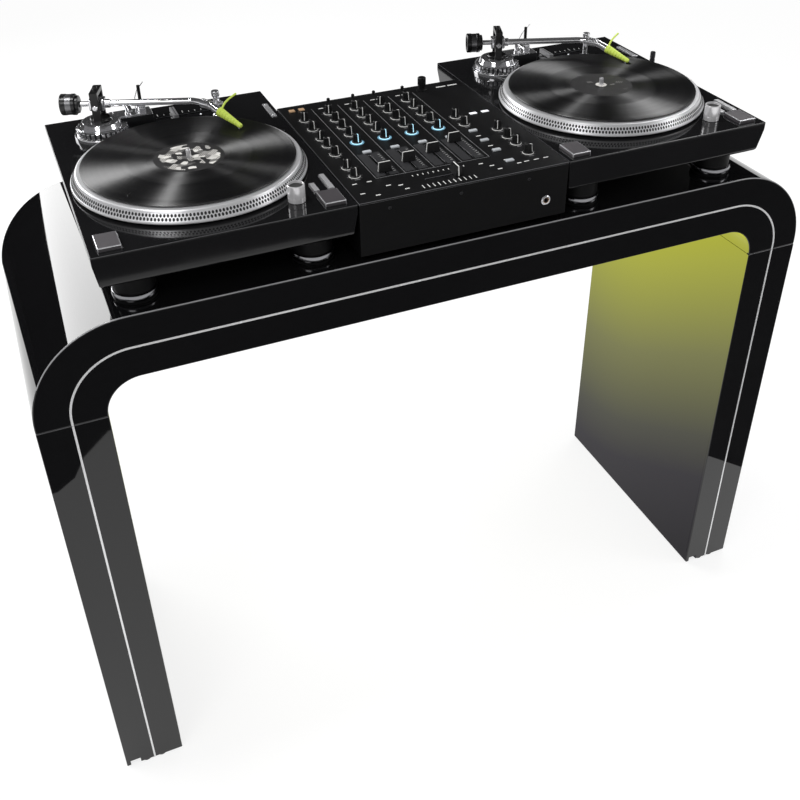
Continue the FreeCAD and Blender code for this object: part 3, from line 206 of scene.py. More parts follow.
def join(pieces: Sequence[Solid], name: str) -> Solid:
    """Joins pieces into one object.

    Args:
        pieces: The mesh objects to join.
        name: Name of the joined object.

    Returns:
        The joined object.
    """
    only(*pieces)
    if len(pieces) > 1:
        bpy.ops.object.join()
    pieces[0].name = name
    return pieces[0]


def copy_at(piece: Solid, name: str, where: Matrix) -> Solid:
    """Copies a piece, mesh and all, to a place.

    Args:
        piece: The piece to copy.
        name: Name of the copy.
        where: Place of the copy.

    Returns:
        The copy.
    """
    only(piece)
    bpy.ops.object.duplicate()
    made = bpy.context.object
    made.name = name
    return settle(made, where)


def repeat(piece: Solid, name: str, places: Sequence[Matrix]) -> Solid:
    """Sets a copy of a piece at each place, joins the copies and drops the pattern piece.

    Args:
        piece: The pattern, modelled at the origin.
        name: Name of the joined object.
        places: Where the copies go.

    Returns:
        The joined object.
    """
    made = join([copy_at(piece, name, where) for where in places], name)
    bpy.data.objects.remove(piece)
    made.name = name
    return made


def chain(name: str, points: Sequence[Triple]) -> Solid:
    """Draws a line of edges by extruding one vertex from point to point.

    Args:
        name: Name of the new object.
        points: The corners of the line in millimetres.

    Returns:
        The new object, a wire.
    """
    bpy.ops.mesh.primitive_plane_add(size=MM)
    piece = bpy.context.object
    piece.name = name
    with editing(piece):
        bpy.ops.mesh.merge(type="CENTER")
        bpy.ops.transform.translate(value=Vector(points[0]) * MM)
        for start, end in zip(points, points[1:]):
            step = (Vector(end) - Vector(start)) * MM
            bpy.ops.mesh.extrude_vertices_move(TRANSFORM_OT_translate={"value": step})
    return piece


def lathe(name: str, profile: Sequence[Pair], steps: int = 48, angle: float = SHARP) -> Solid:
    """Spins a profile of radius and height about the Z axis.

    Args:
        name: Name of the new object.
        profile: Radius and height of each corner in millimetres.
        steps: Faces round the axis.
        angle: Edges sharper than this stay sharp, in radians.

    Returns:
        The turned piece, round the origin.
    """
    piece = chain(name, [(radius, 0.0, height) for radius, height in profile])
    with editing(piece):
        bpy.ops.mesh.spin(steps=steps, angle=FULL_TURN, center=(0, 0, 0), axis=(0, 0, 1))
    tidy(piece)
    return shade(piece, angle)


def prism(name: str, outline: Sequence[Triple], along: Triple) -> Solid:
    """Fills an outline and extrudes it.

    Args:
        name: Name of the new object.
        outline: The corners of a flat outline in millimetres.
        along: The extrusion in millimetres.

    Returns:
        The closed prism.
    """
    piece = chain(name, outline)
    with editing(piece):
        bpy.ops.mesh.edge_face_add()
        bpy.ops.mesh.extrude_region_move(TRANSFORM_OT_translate={"value": Vector(along) * MM})
    tidy(piece)
    return piece


def slab(name: str, low: Triple, high: Triple, rounding: float, segments: int = 2) -> Solid:
    """Makes a block with rounded edges between two corners.

    Args:
        name: Name of the new object.
        low: Lowest corner in millimetres.
        high: Highest corner in millimetres.
        rounding: Width of the rounded edges in millimetres.
        segments: Faces across the rounding.

    Returns:
        The block.
    """
    first, last = Vector(low) * MM, Vector(high) * MM
    bpy.ops.mesh.primitive_cube_add(size=1, location=(first + last) / 2, scale=last - first)
    piece = bpy.context.object
    piece.name = name
    bpy.ops.object.transform_apply(location=True, rotation=True, scale=True)
    return soften(piece, rounding, segments)


def tube(name: str, points: Sequence[Triple], radius: float) -> Solid:
    """Makes a round bar along a line of points.

    Args:
        name: Name of the new object.
        points: The bar's middle line in millimetres.
        radius: The bar's radius in millimetres.

    Returns:
        The closed bar.
    """
    piece = chain(name, points)
    only(piece)
    bpy.ops.object.convert(target="CURVE")
    piece.data.bevel_depth = radius * MM
    piece.data.bevel_resolution = TUBE_RESOLUTION
    piece.data.use_fill_caps = True
    bpy.ops.object.convert(target="MESH")
    tidy(piece)
    return shade(piece)


def arc(centre: Pair, radius: float, start: float, end: float, steps: int) -> list[Pair]:
    """Gives points on an arc, its two ends among them.

    Args:
        centre: Middle of the arc.
        radius: Its radius.
        start: First angle in degrees.
        end: Last angle in degrees.
        steps: Runs along the arc.

    Returns:
        The points in order.
    """
    angles = [math.radians(start + (end - start) * step / steps) for step in range(steps + 1)]
    return [(centre[0] + radius * math.cos(a), centre[1] + radius * math.sin(a)) for a in angles]


def box(node: str) -> tuple[Vector, Vector]:
    """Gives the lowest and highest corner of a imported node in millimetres."""
    low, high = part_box(node)
    return low / MM, high / MM


def joint_place(joint: str) -> Vector:
    """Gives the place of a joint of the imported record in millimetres."""
    return Vector(next(j for j in frame["joints"] if j["name"] == joint)["pos_m"]) / MM


def softened(node: str, name: str, width: float, *finishes: "Finish") -> Solid:
    """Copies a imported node, rounds its edges and dresses it.

    Args:
        node: The node whose mesh is copied.
        name: Name of the new piece.
        width: Width of the rounding in millimetres.
        finishes: Its finish, and the finish of the rounding where that is another one.

    Returns:
        The new piece.
    """
    piece = bpy.data.objects.new(name, frame["nodes"][node].data.copy())
    bpy.context.scene.collection.objects.link(piece)
    only(piece)
    bpy.ops.mesh.customdata_custom_splitnormals_clear()
    with editing(piece):
        bpy.ops.mesh.remove_doubles(threshold=WELD)
        bpy.ops.mesh.dissolve_limited(angle_limit=FLAT)
    dress(piece, *finishes)
    return soften(piece, width, 2, len(finishes) - 1 if len(finishes) > 1 else -1)


def wire(tree: bpy.types.NodeTree, kind: str, inputs: dict[Any, Any], **settings: Any) -> Any:
    """Adds a node, sets it and feeds its inputs.

    Args:
        tree: The node tree.
        kind: The node's type.
        inputs: A value or an output socket for each input.
        settings: The node's own properties.

    Returns:
        The node.
    """
    node = tree.nodes.new(kind)
    for key, value in settings.items():
        setattr(node, key, value)
    for key, value in inputs.items():
        if isinstance(value, bpy.types.NodeSocket):
            tree.links.new(value, node.inputs[key])
        else:
            node.inputs[key].default_value = value
    return node


def sums(tree: bpy.types.NodeTree, operation: str, *terms: Any) -> Any:
    """Adds a math node and gives its result."""
    return wire(tree, "ShaderNodeMath", dict(enumerate(terms)), operation=operation).outputs[0]


def remap(tree: bpy.types.NodeTree, value: Any, low: float, high: float, *ends: float) -> Any:
    """Adds a node that maps the range from low to high to 0 to 1, or to the two ends given."""
    start, end = ends or (0.0, 1.0)
    return wire(tree, "ShaderNodeMapRange", {0: value, 1: low, 2: high, 3: start, 4: end}).outputs[0]


def axis_distance(tree: bpy.types.NodeTree, vector: Any) -> Any:
    """Adds the nodes that measure how far a point is from the Z axis and gives the result."""
    flat = wire(tree, "ShaderNodeVectorMath", {0: vector, 1: (1, 1, 0)}, operation="MULTIPLY")
    return wire(tree, "ShaderNodeVectorMath", {0: flat.outputs[0]}, operation="LENGTH").outputs["Value"]


class Socket(Enum):
    """Kinds of group socket."""

    VECTOR = "NodeSocketVector"
    COLOUR = "NodeSocketColor"
    VALUE = "NodeSocketFloat"


class Effect(Enum):
    """Surface effects that several finishes share, each one shader node group."""

    TONE_DRIFT = "tone_drift"
    SMUDGE_VEIL = "smudge_veil"
    FINE_GRAIN = "fine_grain"
    BRUSHED_LINES = "brushed_lines"
    TURNED_LINES = "turned_lines"

    def group(self) -> bpy.types.NodeTree:
        """Gives the effect's node group, built when it is first used."""
        return bpy.data.node_groups.get(self.value) or getattr(self, "_" + self.value)()

    def _open(self, inputs: dict[str, Socket], output: str, kind: Socket) -> tuple[Any, Any, Any]:
        """Starts the effect's node group.

        Args:
            inputs: Names and kinds of the group's inputs.
            output: Name of its one output.
            kind: Kind of that output.

        Returns:
            The tree, the sockets that bring the inputs, and the socket for the output.
        """
        tree = bpy.data.node_groups.new(self.value, "ShaderNodeTree")
        for label, socket in inputs.items():
            tree.interface.new_socket(name=label, in_out="INPUT", socket_type=socket.value)
        tree.interface.new_socket(name=output, in_out="OUTPUT", socket_type=kind.value)
        sources = tree.nodes.new("NodeGroupInput").outputs
        return tree, sources, tree.nodes.new("NodeGroupOutput").inputs[output]

    def _tone_drift(self) -> bpy.types.NodeTree:
        """Builds the slow drift of a colour's brightness over the surface.

        Returns:
            The node group.
        """
        inputs = {"Vector": Socket.VECTOR, "Colour": Socket.COLOUR,
                  "Amount": Socket.VALUE, "Scale": Socket.VALUE}
        tree, sources, target = self._open(inputs, "Colour", Socket.COLOUR)
        settings = {"Vector": sources[0], "Scale": sources[3], "Detail": 4.0}
        noise = wire(tree, "ShaderNodeTexNoise", settings)
        swing = sums(tree, "SUBTRACT", noise.outputs[0], 0.5)
        value = sums(tree, "MULTIPLY_ADD", swing, sources[2], 1.0)
        toned = wire(tree, "ShaderNodeHueSaturation", {"Value": value, "Color": sources[1]})
        tree.links.new(toned.outputs[0], target)
        return tree

    def _smudge_veil(self) -> bpy.types.NodeTree:
        """Builds the patches where handling and dust make the surface a little rougher.

        Returns:
            The node group.
        """
        inputs = {"Vector": Socket.VECTOR, "Roughness": Socket.VALUE,
                  "Amount": Socket.VALUE, "Scale": Socket.VALUE}
        tree, sources, target = self._open(inputs, "Roughness", Socket.VALUE)
        settings = {"Vector": sources[0], "Scale": sources[3], "Detail": 5.0, "Distortion": 0.6}
        noise = wire(tree, "ShaderNodeTexNoise", settings)
        veil = remap(tree, noise.outputs[0], 0.42, 0.72)
        tree.links.new(sums(tree, "MULTIPLY_ADD", veil, sources[2], sources[1]), target)
        return tree

    def _open_height(self) -> tuple[Any, Any, Any]:
        """Starts the node group of a grain, which turns a place and a size into a height."""
        return self._open({"Vector": Socket.VECTOR, "Size": Socket.VALUE}, "Height", Socket.VALUE)

    def _grain(self, stretch: Triple) -> bpy.types.NodeTree:
        """Builds a grain.

        Args:
            stretch: Share of each axis; the grain is drawn out along an axis with a small share.

        Returns:
            The node group.
        """
        tree, sources, target = self._open_height()
        drawn = wire(tree, "ShaderNodeVectorMath", {0: sources[0], 1: stretch}, operation="MULTIPLY")
        scale = sums(tree, "DIVIDE", 1.0, sources[1])
        settings = {"Vector": drawn.outputs[0], "Scale": scale, "Detail": 3.0}
        noise = wire(tree, "ShaderNodeTexNoise", settings)
        tree.links.new(noise.outputs[0], target)
        return tree

    def _fine_grain(self) -> bpy.types.NodeTree:
        """Builds the even grain of moulded plastic, powder coat and felt."""
        return self._grain((1.0, 1.0, 1.0))

    def _brushed_lines(self) -> bpy.types.NodeTree:
        """Builds straight brushed lines along X."""
        return self._grain((0.02, 1.0, 1.0))

    def _turned_lines(self) -> bpy.types.NodeTree:
        """Builds fine rings round the Z axis, as a lathe leaves them.

        Returns:
            The node group.
        """
        tree, sources, target = self._open_height()
        rings = sums(tree, "DIVIDE", axis_distance(tree, sources[0]), sources[1])
        settings = {"W": rings, "Scale": 1.0, "Detail": 2.0}
        noise = wire(tree, "ShaderNodeTexNoise", settings, noise_dimensions="1D")
        tree.links.new(noise.outputs[0], target)
        return tree


def linear(colour: Sequence[float]) -> tuple[float, float, float, float]:
    """Turns a screen colour into a linear one.

    Args:
        colour: Red, green and blue from 0 to 255.

    Returns:
        The linear colour with full alpha.
    """
    shares = [value / 255 for value in colour]
    return tuple(share / DECODE_SLOPE if share <= DECODE_LIMIT
                 else ((share + DECODE_OFFSET) / (1 + DECODE_OFFSET)) ** DECODE_POWER
                 for share in shares) + (1.0,)


@dataclass(frozen=True)
class Finish:
    """A procedural surface: a drifting colour, a smudged gloss and a grain.

    Lengths are in millimetres. The pattern is centred on centre.
    """

    name: str
    colour: Triple
    roughness: float
    metallic: float = 0.0
    specular: float = 0.5
    ior: float = 1.5
    drift: float = 0.35
    smudge: float = 0.05
    patch: float = 45.0
    grain: Effect = Effect.FINE_GRAIN
    grain_size: float = 0.5
    grain_depth: float = 0.02
    turn: float = 0.0
    centre: Triple = (0.0, 0.0, 0.0)

    def material(self) -> bpy.types.Material:
        """Gives the finish's material, made when it is first used.

        Returns:
            The material.
        """
        made = bpy.data.materials.get(self.name)
        if made is None:
            made = bpy.data.materials.new(self.name)
            made.use_nodes = True
            self.fill(made.node_tree, made.node_tree.nodes["Principled BSDF"])
        return made

    def vector(self, tree: bpy.types.NodeTree) -> Any:
        """Gives the object coordinates, centred and turned for the finish.

        Args:
            tree: The material's node tree.

        Returns:
            The socket with the coordinates.
        """
        source = wire(tree, "ShaderNodeTexCoord", {}).outputs["Object"]
        turned = Matrix.Rotation(math.radians(self.turn), 3, "Z") @ Vector(self.centre)
        values = {0: source, "Location": -turned * MM, "Rotation": (0, 0, math.radians(self.turn))}
        return wire(tree, "ShaderNodeMapping", values).outputs[0]

    def effect(self, tree: bpy.types.NodeTree, effect: Effect, inputs: dict[str, Any]) -> Any:
        """Places a shared effect in the material and gives its output."""
        return wire(tree, "ShaderNodeGroup", inputs, node_tree=effect.group()).outputs[0]

    def tone(self, tree: bpy.types.NodeTree, vector: Any) -> Any:
        """Gives the colour with its drift.

        Args:
            tree: The material's node tree.
            vector: The socket with the coordinates.

        Returns:
            The socket with the colour.
        """
        values = {"Vector": vector, "Colour": linear(self.colour),
                  "Amount": self.drift, "Scale": 1 / (self.patch * MM)}
        return self.effect(tree, Effect.TONE_DRIFT, values)

    def fill(self, tree: bpy.types.NodeTree, shader: Any) -> None:
        """Wires the finish into a material.

        Args:
            tree: The material's node tree.
            shader: Its Principled shader.
        """
        vector = self.vector(tree)
        veil = {"Vector": vector, "Roughness": self.roughness,
                "Amount": self.smudge, "Scale": 0.7 / (self.patch * MM)}
        height = self.effect(tree, self.grain, {"Vector": vector, "Size": self.grain_size * MM})
        bump = wire(tree, "ShaderNodeBump",
                    {"Height": height, "Strength": self.grain_depth, "Distance": MM})
        tree.links.new(self.tone(tree, vector), shader.inputs["Base Color"])
        tree.links.new(self.effect(tree, Effect.SMUDGE_VEIL, veil), shader.inputs["Roughness"])
        tree.links.new(bump.outputs[0], shader.inputs["Normal"])
        shader.inputs["Metallic"].default_value = self.metallic
        shader.inputs["Specular IOR Level"].default_value = self.specular
        shader.inputs["IOR"].default_value = self.ior


@dataclass(frozen=True)
class Vinyl(Finish):
    """Grooved record surface: gloss drawn out across the grooves, with bands of tracks."""

    draw: float = 1.0
    track: float = 11.0
    calm_radius: float = 84.0
    calm: float = 0.22
    calm_blend: float = 6.0

    def fill(self, tree: bpy.types.NodeTree, shader: Any) -> None:
        """Wires grooves, track bands and the drawn-out gloss into a material.

        Args:
            tree: The material's node tree.
            shader: Its Principled shader.
        """
        super().fill(tree, shader)
        vector = self.vector(tree)
        bands = self.effect(tree, Effect.TURNED_LINES, {"Vector": vector, "Size": self.track * MM})
        gloss = remap(tree, bands, 0.3, 0.7, self.roughness - self.smudge, self.roughness + self.smudge)
        start, end = (self.calm_radius - self.calm_blend) * MM, (self.calm_radius + self.calm_blend) * MM
        calm = remap(tree, axis_distance(tree, vector), start, end, self.calm, 0.0)
        tree.links.new(sums(tree, "ADD", gloss, calm), shader.inputs["Roughness"])
        shader.inputs["Anisotropic"].default_value = self.draw
        shader.inputs["Anisotropic Rotation"].default_value = 0.25
        tangent = wire(tree, "ShaderNodeTangent", {}, direction_type="RADIAL", axis="Z")
        tree.links.new(tangent.outputs[0], shader.inputs["Tangent"])


@dataclass(frozen=True)
class Label(Finish):
    """Printed paper label of a record: pale and hatched patches and a hub disc on a dark ground."""

    pale: Triple = (214, 212, 207)
    share: float = 0.45
    cell: float = 9.0
    margin: float = 44.0
    hub: float = 0.0
    tilt: float = 0.75
    patch_blend: float = 0.25
    stripe_scale: float = 110.0
    stripe_bend: float = 1.5
    solid_share: float = 0.45

    def tone(self, tree: bpy.types.NodeTree, vector: Any) -> Any:
        """Gives the printed colour.

        Args:
            tree: The material's node tree.
            vector: The socket with the coordinates.

        Returns:
            The socket with the colour.
        """
        ground = super().tone(tree, vector)
        tilted = wire(tree, "ShaderNodeMapping", {0: vector, "Rotation": (0, 0, self.tilt)}).outputs[0]
        cells = wire(tree, "ShaderNodeTexVoronoi", {"Vector": tilted, "Scale": 1 / (self.cell * MM)},
                     voronoi_dimensions="2D", distance="CHEBYCHEV").outputs["Color"]
        tones = wire(tree, "ShaderNodeSeparateColor", {0: cells}).outputs
        fill = remap(tree, tones[0], self.share, self.share + self.patch_blend)
        lines = {"Vector": tilted, "Scale": self.stripe_scale, "Distortion": self.stripe_bend}
        stripes = wire(tree, "ShaderNodeTexWave", lines).outputs[1]
        solid = sums(tree, "GREATER_THAN", tones[1], self.solid_share)
        hatch = sums(tree, "MAXIMUM", stripes, solid)
        radius = axis_distance(tree, vector)
        inside = sums(tree, "LESS_THAN", radius, self.margin * MM)
        hub = sums(tree, "LESS_THAN", radius, self.hub * MM)
        print_mask = sums(tree, "MULTIPLY", sums(tree, "MULTIPLY", fill, hatch), inside)
        values = {0: sums(tree, "MAXIMUM", print_mask, hub), 6: ground, 7: linear(self.pale)}
        return wire(tree, "ShaderNodeMix", values, data_type="RGBA").outputs[2]


@dataclass(frozen=True)
class Lit(Finish):
    """A small lamp or lit plastic."""

    strength: float = 1.0

    def fill(self, tree: bpy.types.NodeTree, shader: Any) -> None:
        """Wires the finish and lets its colour shine.

        Args:
            tree: The material's node tree.
            shader: Its Principled shader.
        """
        super().fill(tree, shader)
        tree.links.new(self.tone(tree, self.vector(tree)), shader.inputs["Emission Color"])
        shader.inputs["Emission Strength"].default_value = self.strength


@dataclass(frozen=True)
class PaintedLimeLight(Finish):
    """Painted lime light: a dark sheet given emission in place of the light that the lamp bar throws,
    brightest at its top and towards its back.
    """

    slant: float = 0.6
    fall: float = -1.5
    low: float = -0.1
    high: float = 0.7
    stops: tuple[tuple[float, Triple], ...] = (
        (0.0, (30, 28, 32)), (0.25, (50, 48, 52)), (0.38, (74, 74, 64)),
        (0.62, (118, 119, 74)), (0.88, (163, 165, 62)), (1.0, (176, 178, 46)))

    def fill(self, tree: bpy.types.NodeTree, shader: Any) -> None:
        """Wires the sheet and its painted light by height and depth.

        Args:
            tree: The material's node tree.
            shader: Its Principled shader.
        """
        super().fill(tree, shader)
        source = wire(tree, "ShaderNodeTexCoord", {}).outputs["Object"]
        parts = wire(tree, "ShaderNodeSeparateXYZ", {0: source}).outputs
        behind = sums(tree, "POWER", sums(tree, "MAXIMUM", parts[1], 0.0), 2.0)
        rise = sums(tree, "MULTIPLY_ADD", parts[1], self.slant, parts[2])
        rise = sums(tree, "MULTIPLY_ADD", behind, self.fall, rise)
        share = remap(tree, rise, self.low, self.high)
        light = wire(tree, "ShaderNodeValToRGB", {0: share})
        ramp = light.color_ramp
        ramp.elements[1].color = linear(self.stops[-1][1])
        ramp.elements[0].color = linear(self.stops[0][1])
        for position, colour in self.stops[1:-1]:
            ramp.elements.new(position).color = linear(colour)
        tree.links.new(light.outputs[0], shader.inputs["Emission Color"])
        shader.inputs["Emission Strength"].default_value = 1.0


LACQUER = Finish("black_lacquer_gloss", (14, 14, 15), 0.02, smudge=0.02, patch=160, grain_size=40,
                 grain_depth=0.004)
# Painted highlight: a lighter grey for the upper front rounding of the black lacquer, in place of the edge
# line that catches the light.
LACQUER_EDGE_HIGHLIGHT = Finish("lacquer_edge_painted_highlight", (150, 150, 152), 0.2)
# Painted highlight: a grey for the legs' upper front rounding at the seam, so the seam reads as a lit
# line.
SEAM_EDGE_HIGHLIGHT = Finish("seam_edge_painted_highlight", (96, 96, 98), 0.25)
INLAY = Finish("inlay_satin_metal", (240, 240, 241), 0.25, metallic=0.4, grain=Effect.BRUSHED_LINES,
               drift=0.15)
STEEL = Finish("bolt_steel", (150, 150, 152), 0.35, metallic=1.0)
GLIDE = Finish("glide_plastic_black", (24, 24, 25), 0.55)
CHANNEL = Finish("light_channel_metal", (150, 151, 153), 0.38, metallic=1.0, grain=Effect.BRUSHED_LINES,
                 turn=90)
# Painted light: an emissive lime ramp that stands in for the light the lamp bar throws on the insides of
# the stand.
PAINTED_LIME_LIGHT = PaintedLimeLight("painted_lime_light", (12, 12, 13), 0.2, specular=0.06, smudge=0.08, patch=120)
DECK_GLOSS = Finish("deck_gloss_black", (22, 22, 23), 0.07, specular=0.32, smudge=0.05, patch=90,
                    grain_size=6, grain_depth=0.006)
# Painted highlight: a grey for the top rounding of the deck, in place of the edge lines that catch the
# light.
DECK_EDGE_HIGHLIGHT = Finish("deck_edge_painted_highlight", (74, 74, 76), 0.25)
PAN = Finish("pan_black_plastic", (24, 24, 25), 0.55, grain_size=0.9, grain_depth=0.12)
RUBBER = Finish("foot_black_rubber", (14, 14, 15), 0.5, specular=0.16, grain_size=0.8, grain_depth=0.08)
CHROME = Finish("foot_ring_chrome", (140, 140, 143), 0.18, metallic=1.0, drift=0.08, grain_depth=0.004)
MOTOR = Finish("motor_case_steel", (120, 121, 124), 0.4, metallic=1.0)
ARM_CHROME = Finish("arm_chrome", (224, 224, 227), 0.21, metallic=1.0, drift=0.1, grain_depth=0.003)
ARM_DARK = Finish("arm_dark_metal", (46, 46, 48), 0.3, metallic=0.8)
YOKE_BLACK = Finish("yoke_satin_black", (15, 15, 16), 0.3, grain_depth=0.03)
WEIGHT_BLACK = Finish("weight_black_enamel", (16, 16, 17), 0.28, grain_depth=0.02)
WEIGHT_BAND = Finish("weight_grey_band", (128, 128, 130), 0.34, metallic=1.0, grain=Effect.BRUSHED_LINES)
LIME = Finish("cartridge_lime_plastic", (212, 233, 98), 0.36, drift=0.1, smudge=0.08, patch=9,
              grain_depth=0.03)
PLATTER = Finish("platter_turned_metal", (226, 226, 228), 0.33, metallic=0.58, drift=0.1, smudge=0.05,
                 grain=Effect.TURNED_LINES, grain_size=0.5, grain_depth=0.02)
DOT = Finish("strobe_dot_black", (30, 30, 32), 0.5)
FELT = Finish("slipmat_felt", (24, 24, 26), 0.95, grain_size=0.6, grain_depth=0.5)
VINYL = Vinyl("record_vinyl", (17, 17, 18), 0.4, ior=2.1, smudge=0.05, grain=Effect.TURNED_LINES,
              grain_size=1.6, grain_depth=0.012)
LABEL = Label("record_label_print", (38, 37, 38), 0.5, drift=0.5, patch=20)
KEY_TOP = Finish("key_brushed_grey", (80, 77, 80), 0.42, metallic=0.25, grain=Effect.BRUSHED_LINES,
                 grain_size=0.25, grain_depth=0.12, turn=35)
KEY_EDGE = Finish("key_bright_edge", (222, 222, 225), 0.22, metallic=0.7, drift=0.1)
SPEED_KEY = Finish("speed_key_satin", (196, 196, 198), 0.36, metallic=0.5, drift=0.15)
TOWER = Finish("tower_satin_metal", (246, 245, 247), 0.2, metallic=0.55, drift=0.05, smudge=0.02,
               grain_depth=0.003)
CONTROL_BLACK = Finish("control_black", (22, 22, 23), 0.4, grain_depth=0.05)
CONTROL_GREY = Finish("control_grey", (150, 150, 152), 0.4, metallic=0.5)
PEG = Finish("peg_dark_metal", (52, 52, 55), 0.3, metallic=0.7)
LEVER = Finish("lever_black", (18, 18, 19), 0.32)
MIXER_BLACK = Finish("mixer_powder_black", (21, 21, 22), 0.42, specular=0.24, grain_size=0.5,
                     grain_depth=0.07)
# Painted highlight: a grey for the faceplate's edge rounding, in place of the light its edges catch.
PLATE_EDGE_HIGHLIGHT = Finish("mixer_edge_painted_highlight", (92, 92, 95), 0.3)
# Painted shade: a darker, duller copy of the mixer's black for the case, so its front and sides read
# shaded.
CASE_BLACK_SHADED = Finish("mixer_black_painted_shade", (11, 11, 12), 0.42, specular=0.1, grain_size=0.5, grain_depth=0.07)
PANEL_GREY = Finish("mixer_panel_grey", (50, 50, 52), 0.5, specular=0.3, grain_size=0.6, grain_depth=0.05)
CAP_BLACK = Finish("cap_soft_black", (17, 17, 18), 0.4, specular=0.35, grain_depth=0.06)
BUTTON = Finish("button_pale_grey", (176, 180, 184), 0.42)
INK = Finish("white_ink", (222, 222, 220), 0.55, drift=0.15)
GREY_INK = Finish("grey_ink", (120, 120, 122), 0.5)
BLUE = Lit("filter_blue_lamp", (176, 222, 240), 0.3, drift=0.1, strength=0.95)
# Painted light: a faint blue emission for the plate round the filter knobs, in place of the light that
# spills from their rings.
BLUE_PAINTED_LIGHT = Lit("filter_blue_painted_light", (96, 140, 162), 0.4, drift=0.3, strength=0.5)
WHITE_LAMP = Lit("small_white_lamp", (230, 232, 236), 0.3, strength=0.6)
GOLD = Finish("gold_socket", (216, 178, 140), 0.32, metallic=0.3)
BRONZE = Finish("jack_bronze", (150, 118, 84), 0.35, metallic=1.0)
SOCKET = Finish("socket_dark_plastic", (40, 40, 42), 0.4)
BOARD = Finish("board_green", (26, 74, 44), 0.45, grain_size=2.0, grain_depth=0.1)


def dress(piece: Solid, *finishes: Finish) -> Solid:
    """Gives a piece its finishes.

    Args:
        piece: The mesh object to dress.
        finishes: One finish for each material slot.

    Returns:
        The same piece.
    """
    piece.data.materials.clear()
    for finish in finishes:
        piece.data.materials.append(finish.material())
    return piece


def paint(piece: Solid, finish: Finish, test: Test) -> None:
    """Gives a finish to the faces that pass a test of their middle and normal.

    Args:
        piece: The mesh object to paint.
        finish: The finish for those faces.
        test: Takes a face's middle in millimetres and its normal.
    """
    piece.data.materials.append(finish.material())
    with editing(piece):
        pick(piece, Kind.FACE, test)
        piece.active_material_index = len(piece.data.materials) - 1
        bpy.ops.object.material_slot_assign()


def fit(piece: Solid, body: str, slot: str, *nodes: str) -> None:
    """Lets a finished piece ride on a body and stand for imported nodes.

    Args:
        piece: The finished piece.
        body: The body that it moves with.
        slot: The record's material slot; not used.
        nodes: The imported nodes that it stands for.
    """
    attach(piece, body)
    if nodes:
        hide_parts(*nodes)
    LOG.info("%s rides on %s, %d faces", piece.name, body, len(piece.data.polygons))


def keep(node: str, finish: Finish) -> None:
    """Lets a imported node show, with a finish of its own."""
    dress(frame["nodes"][node], finish)
    LOG.info("%s stays as packed", node)


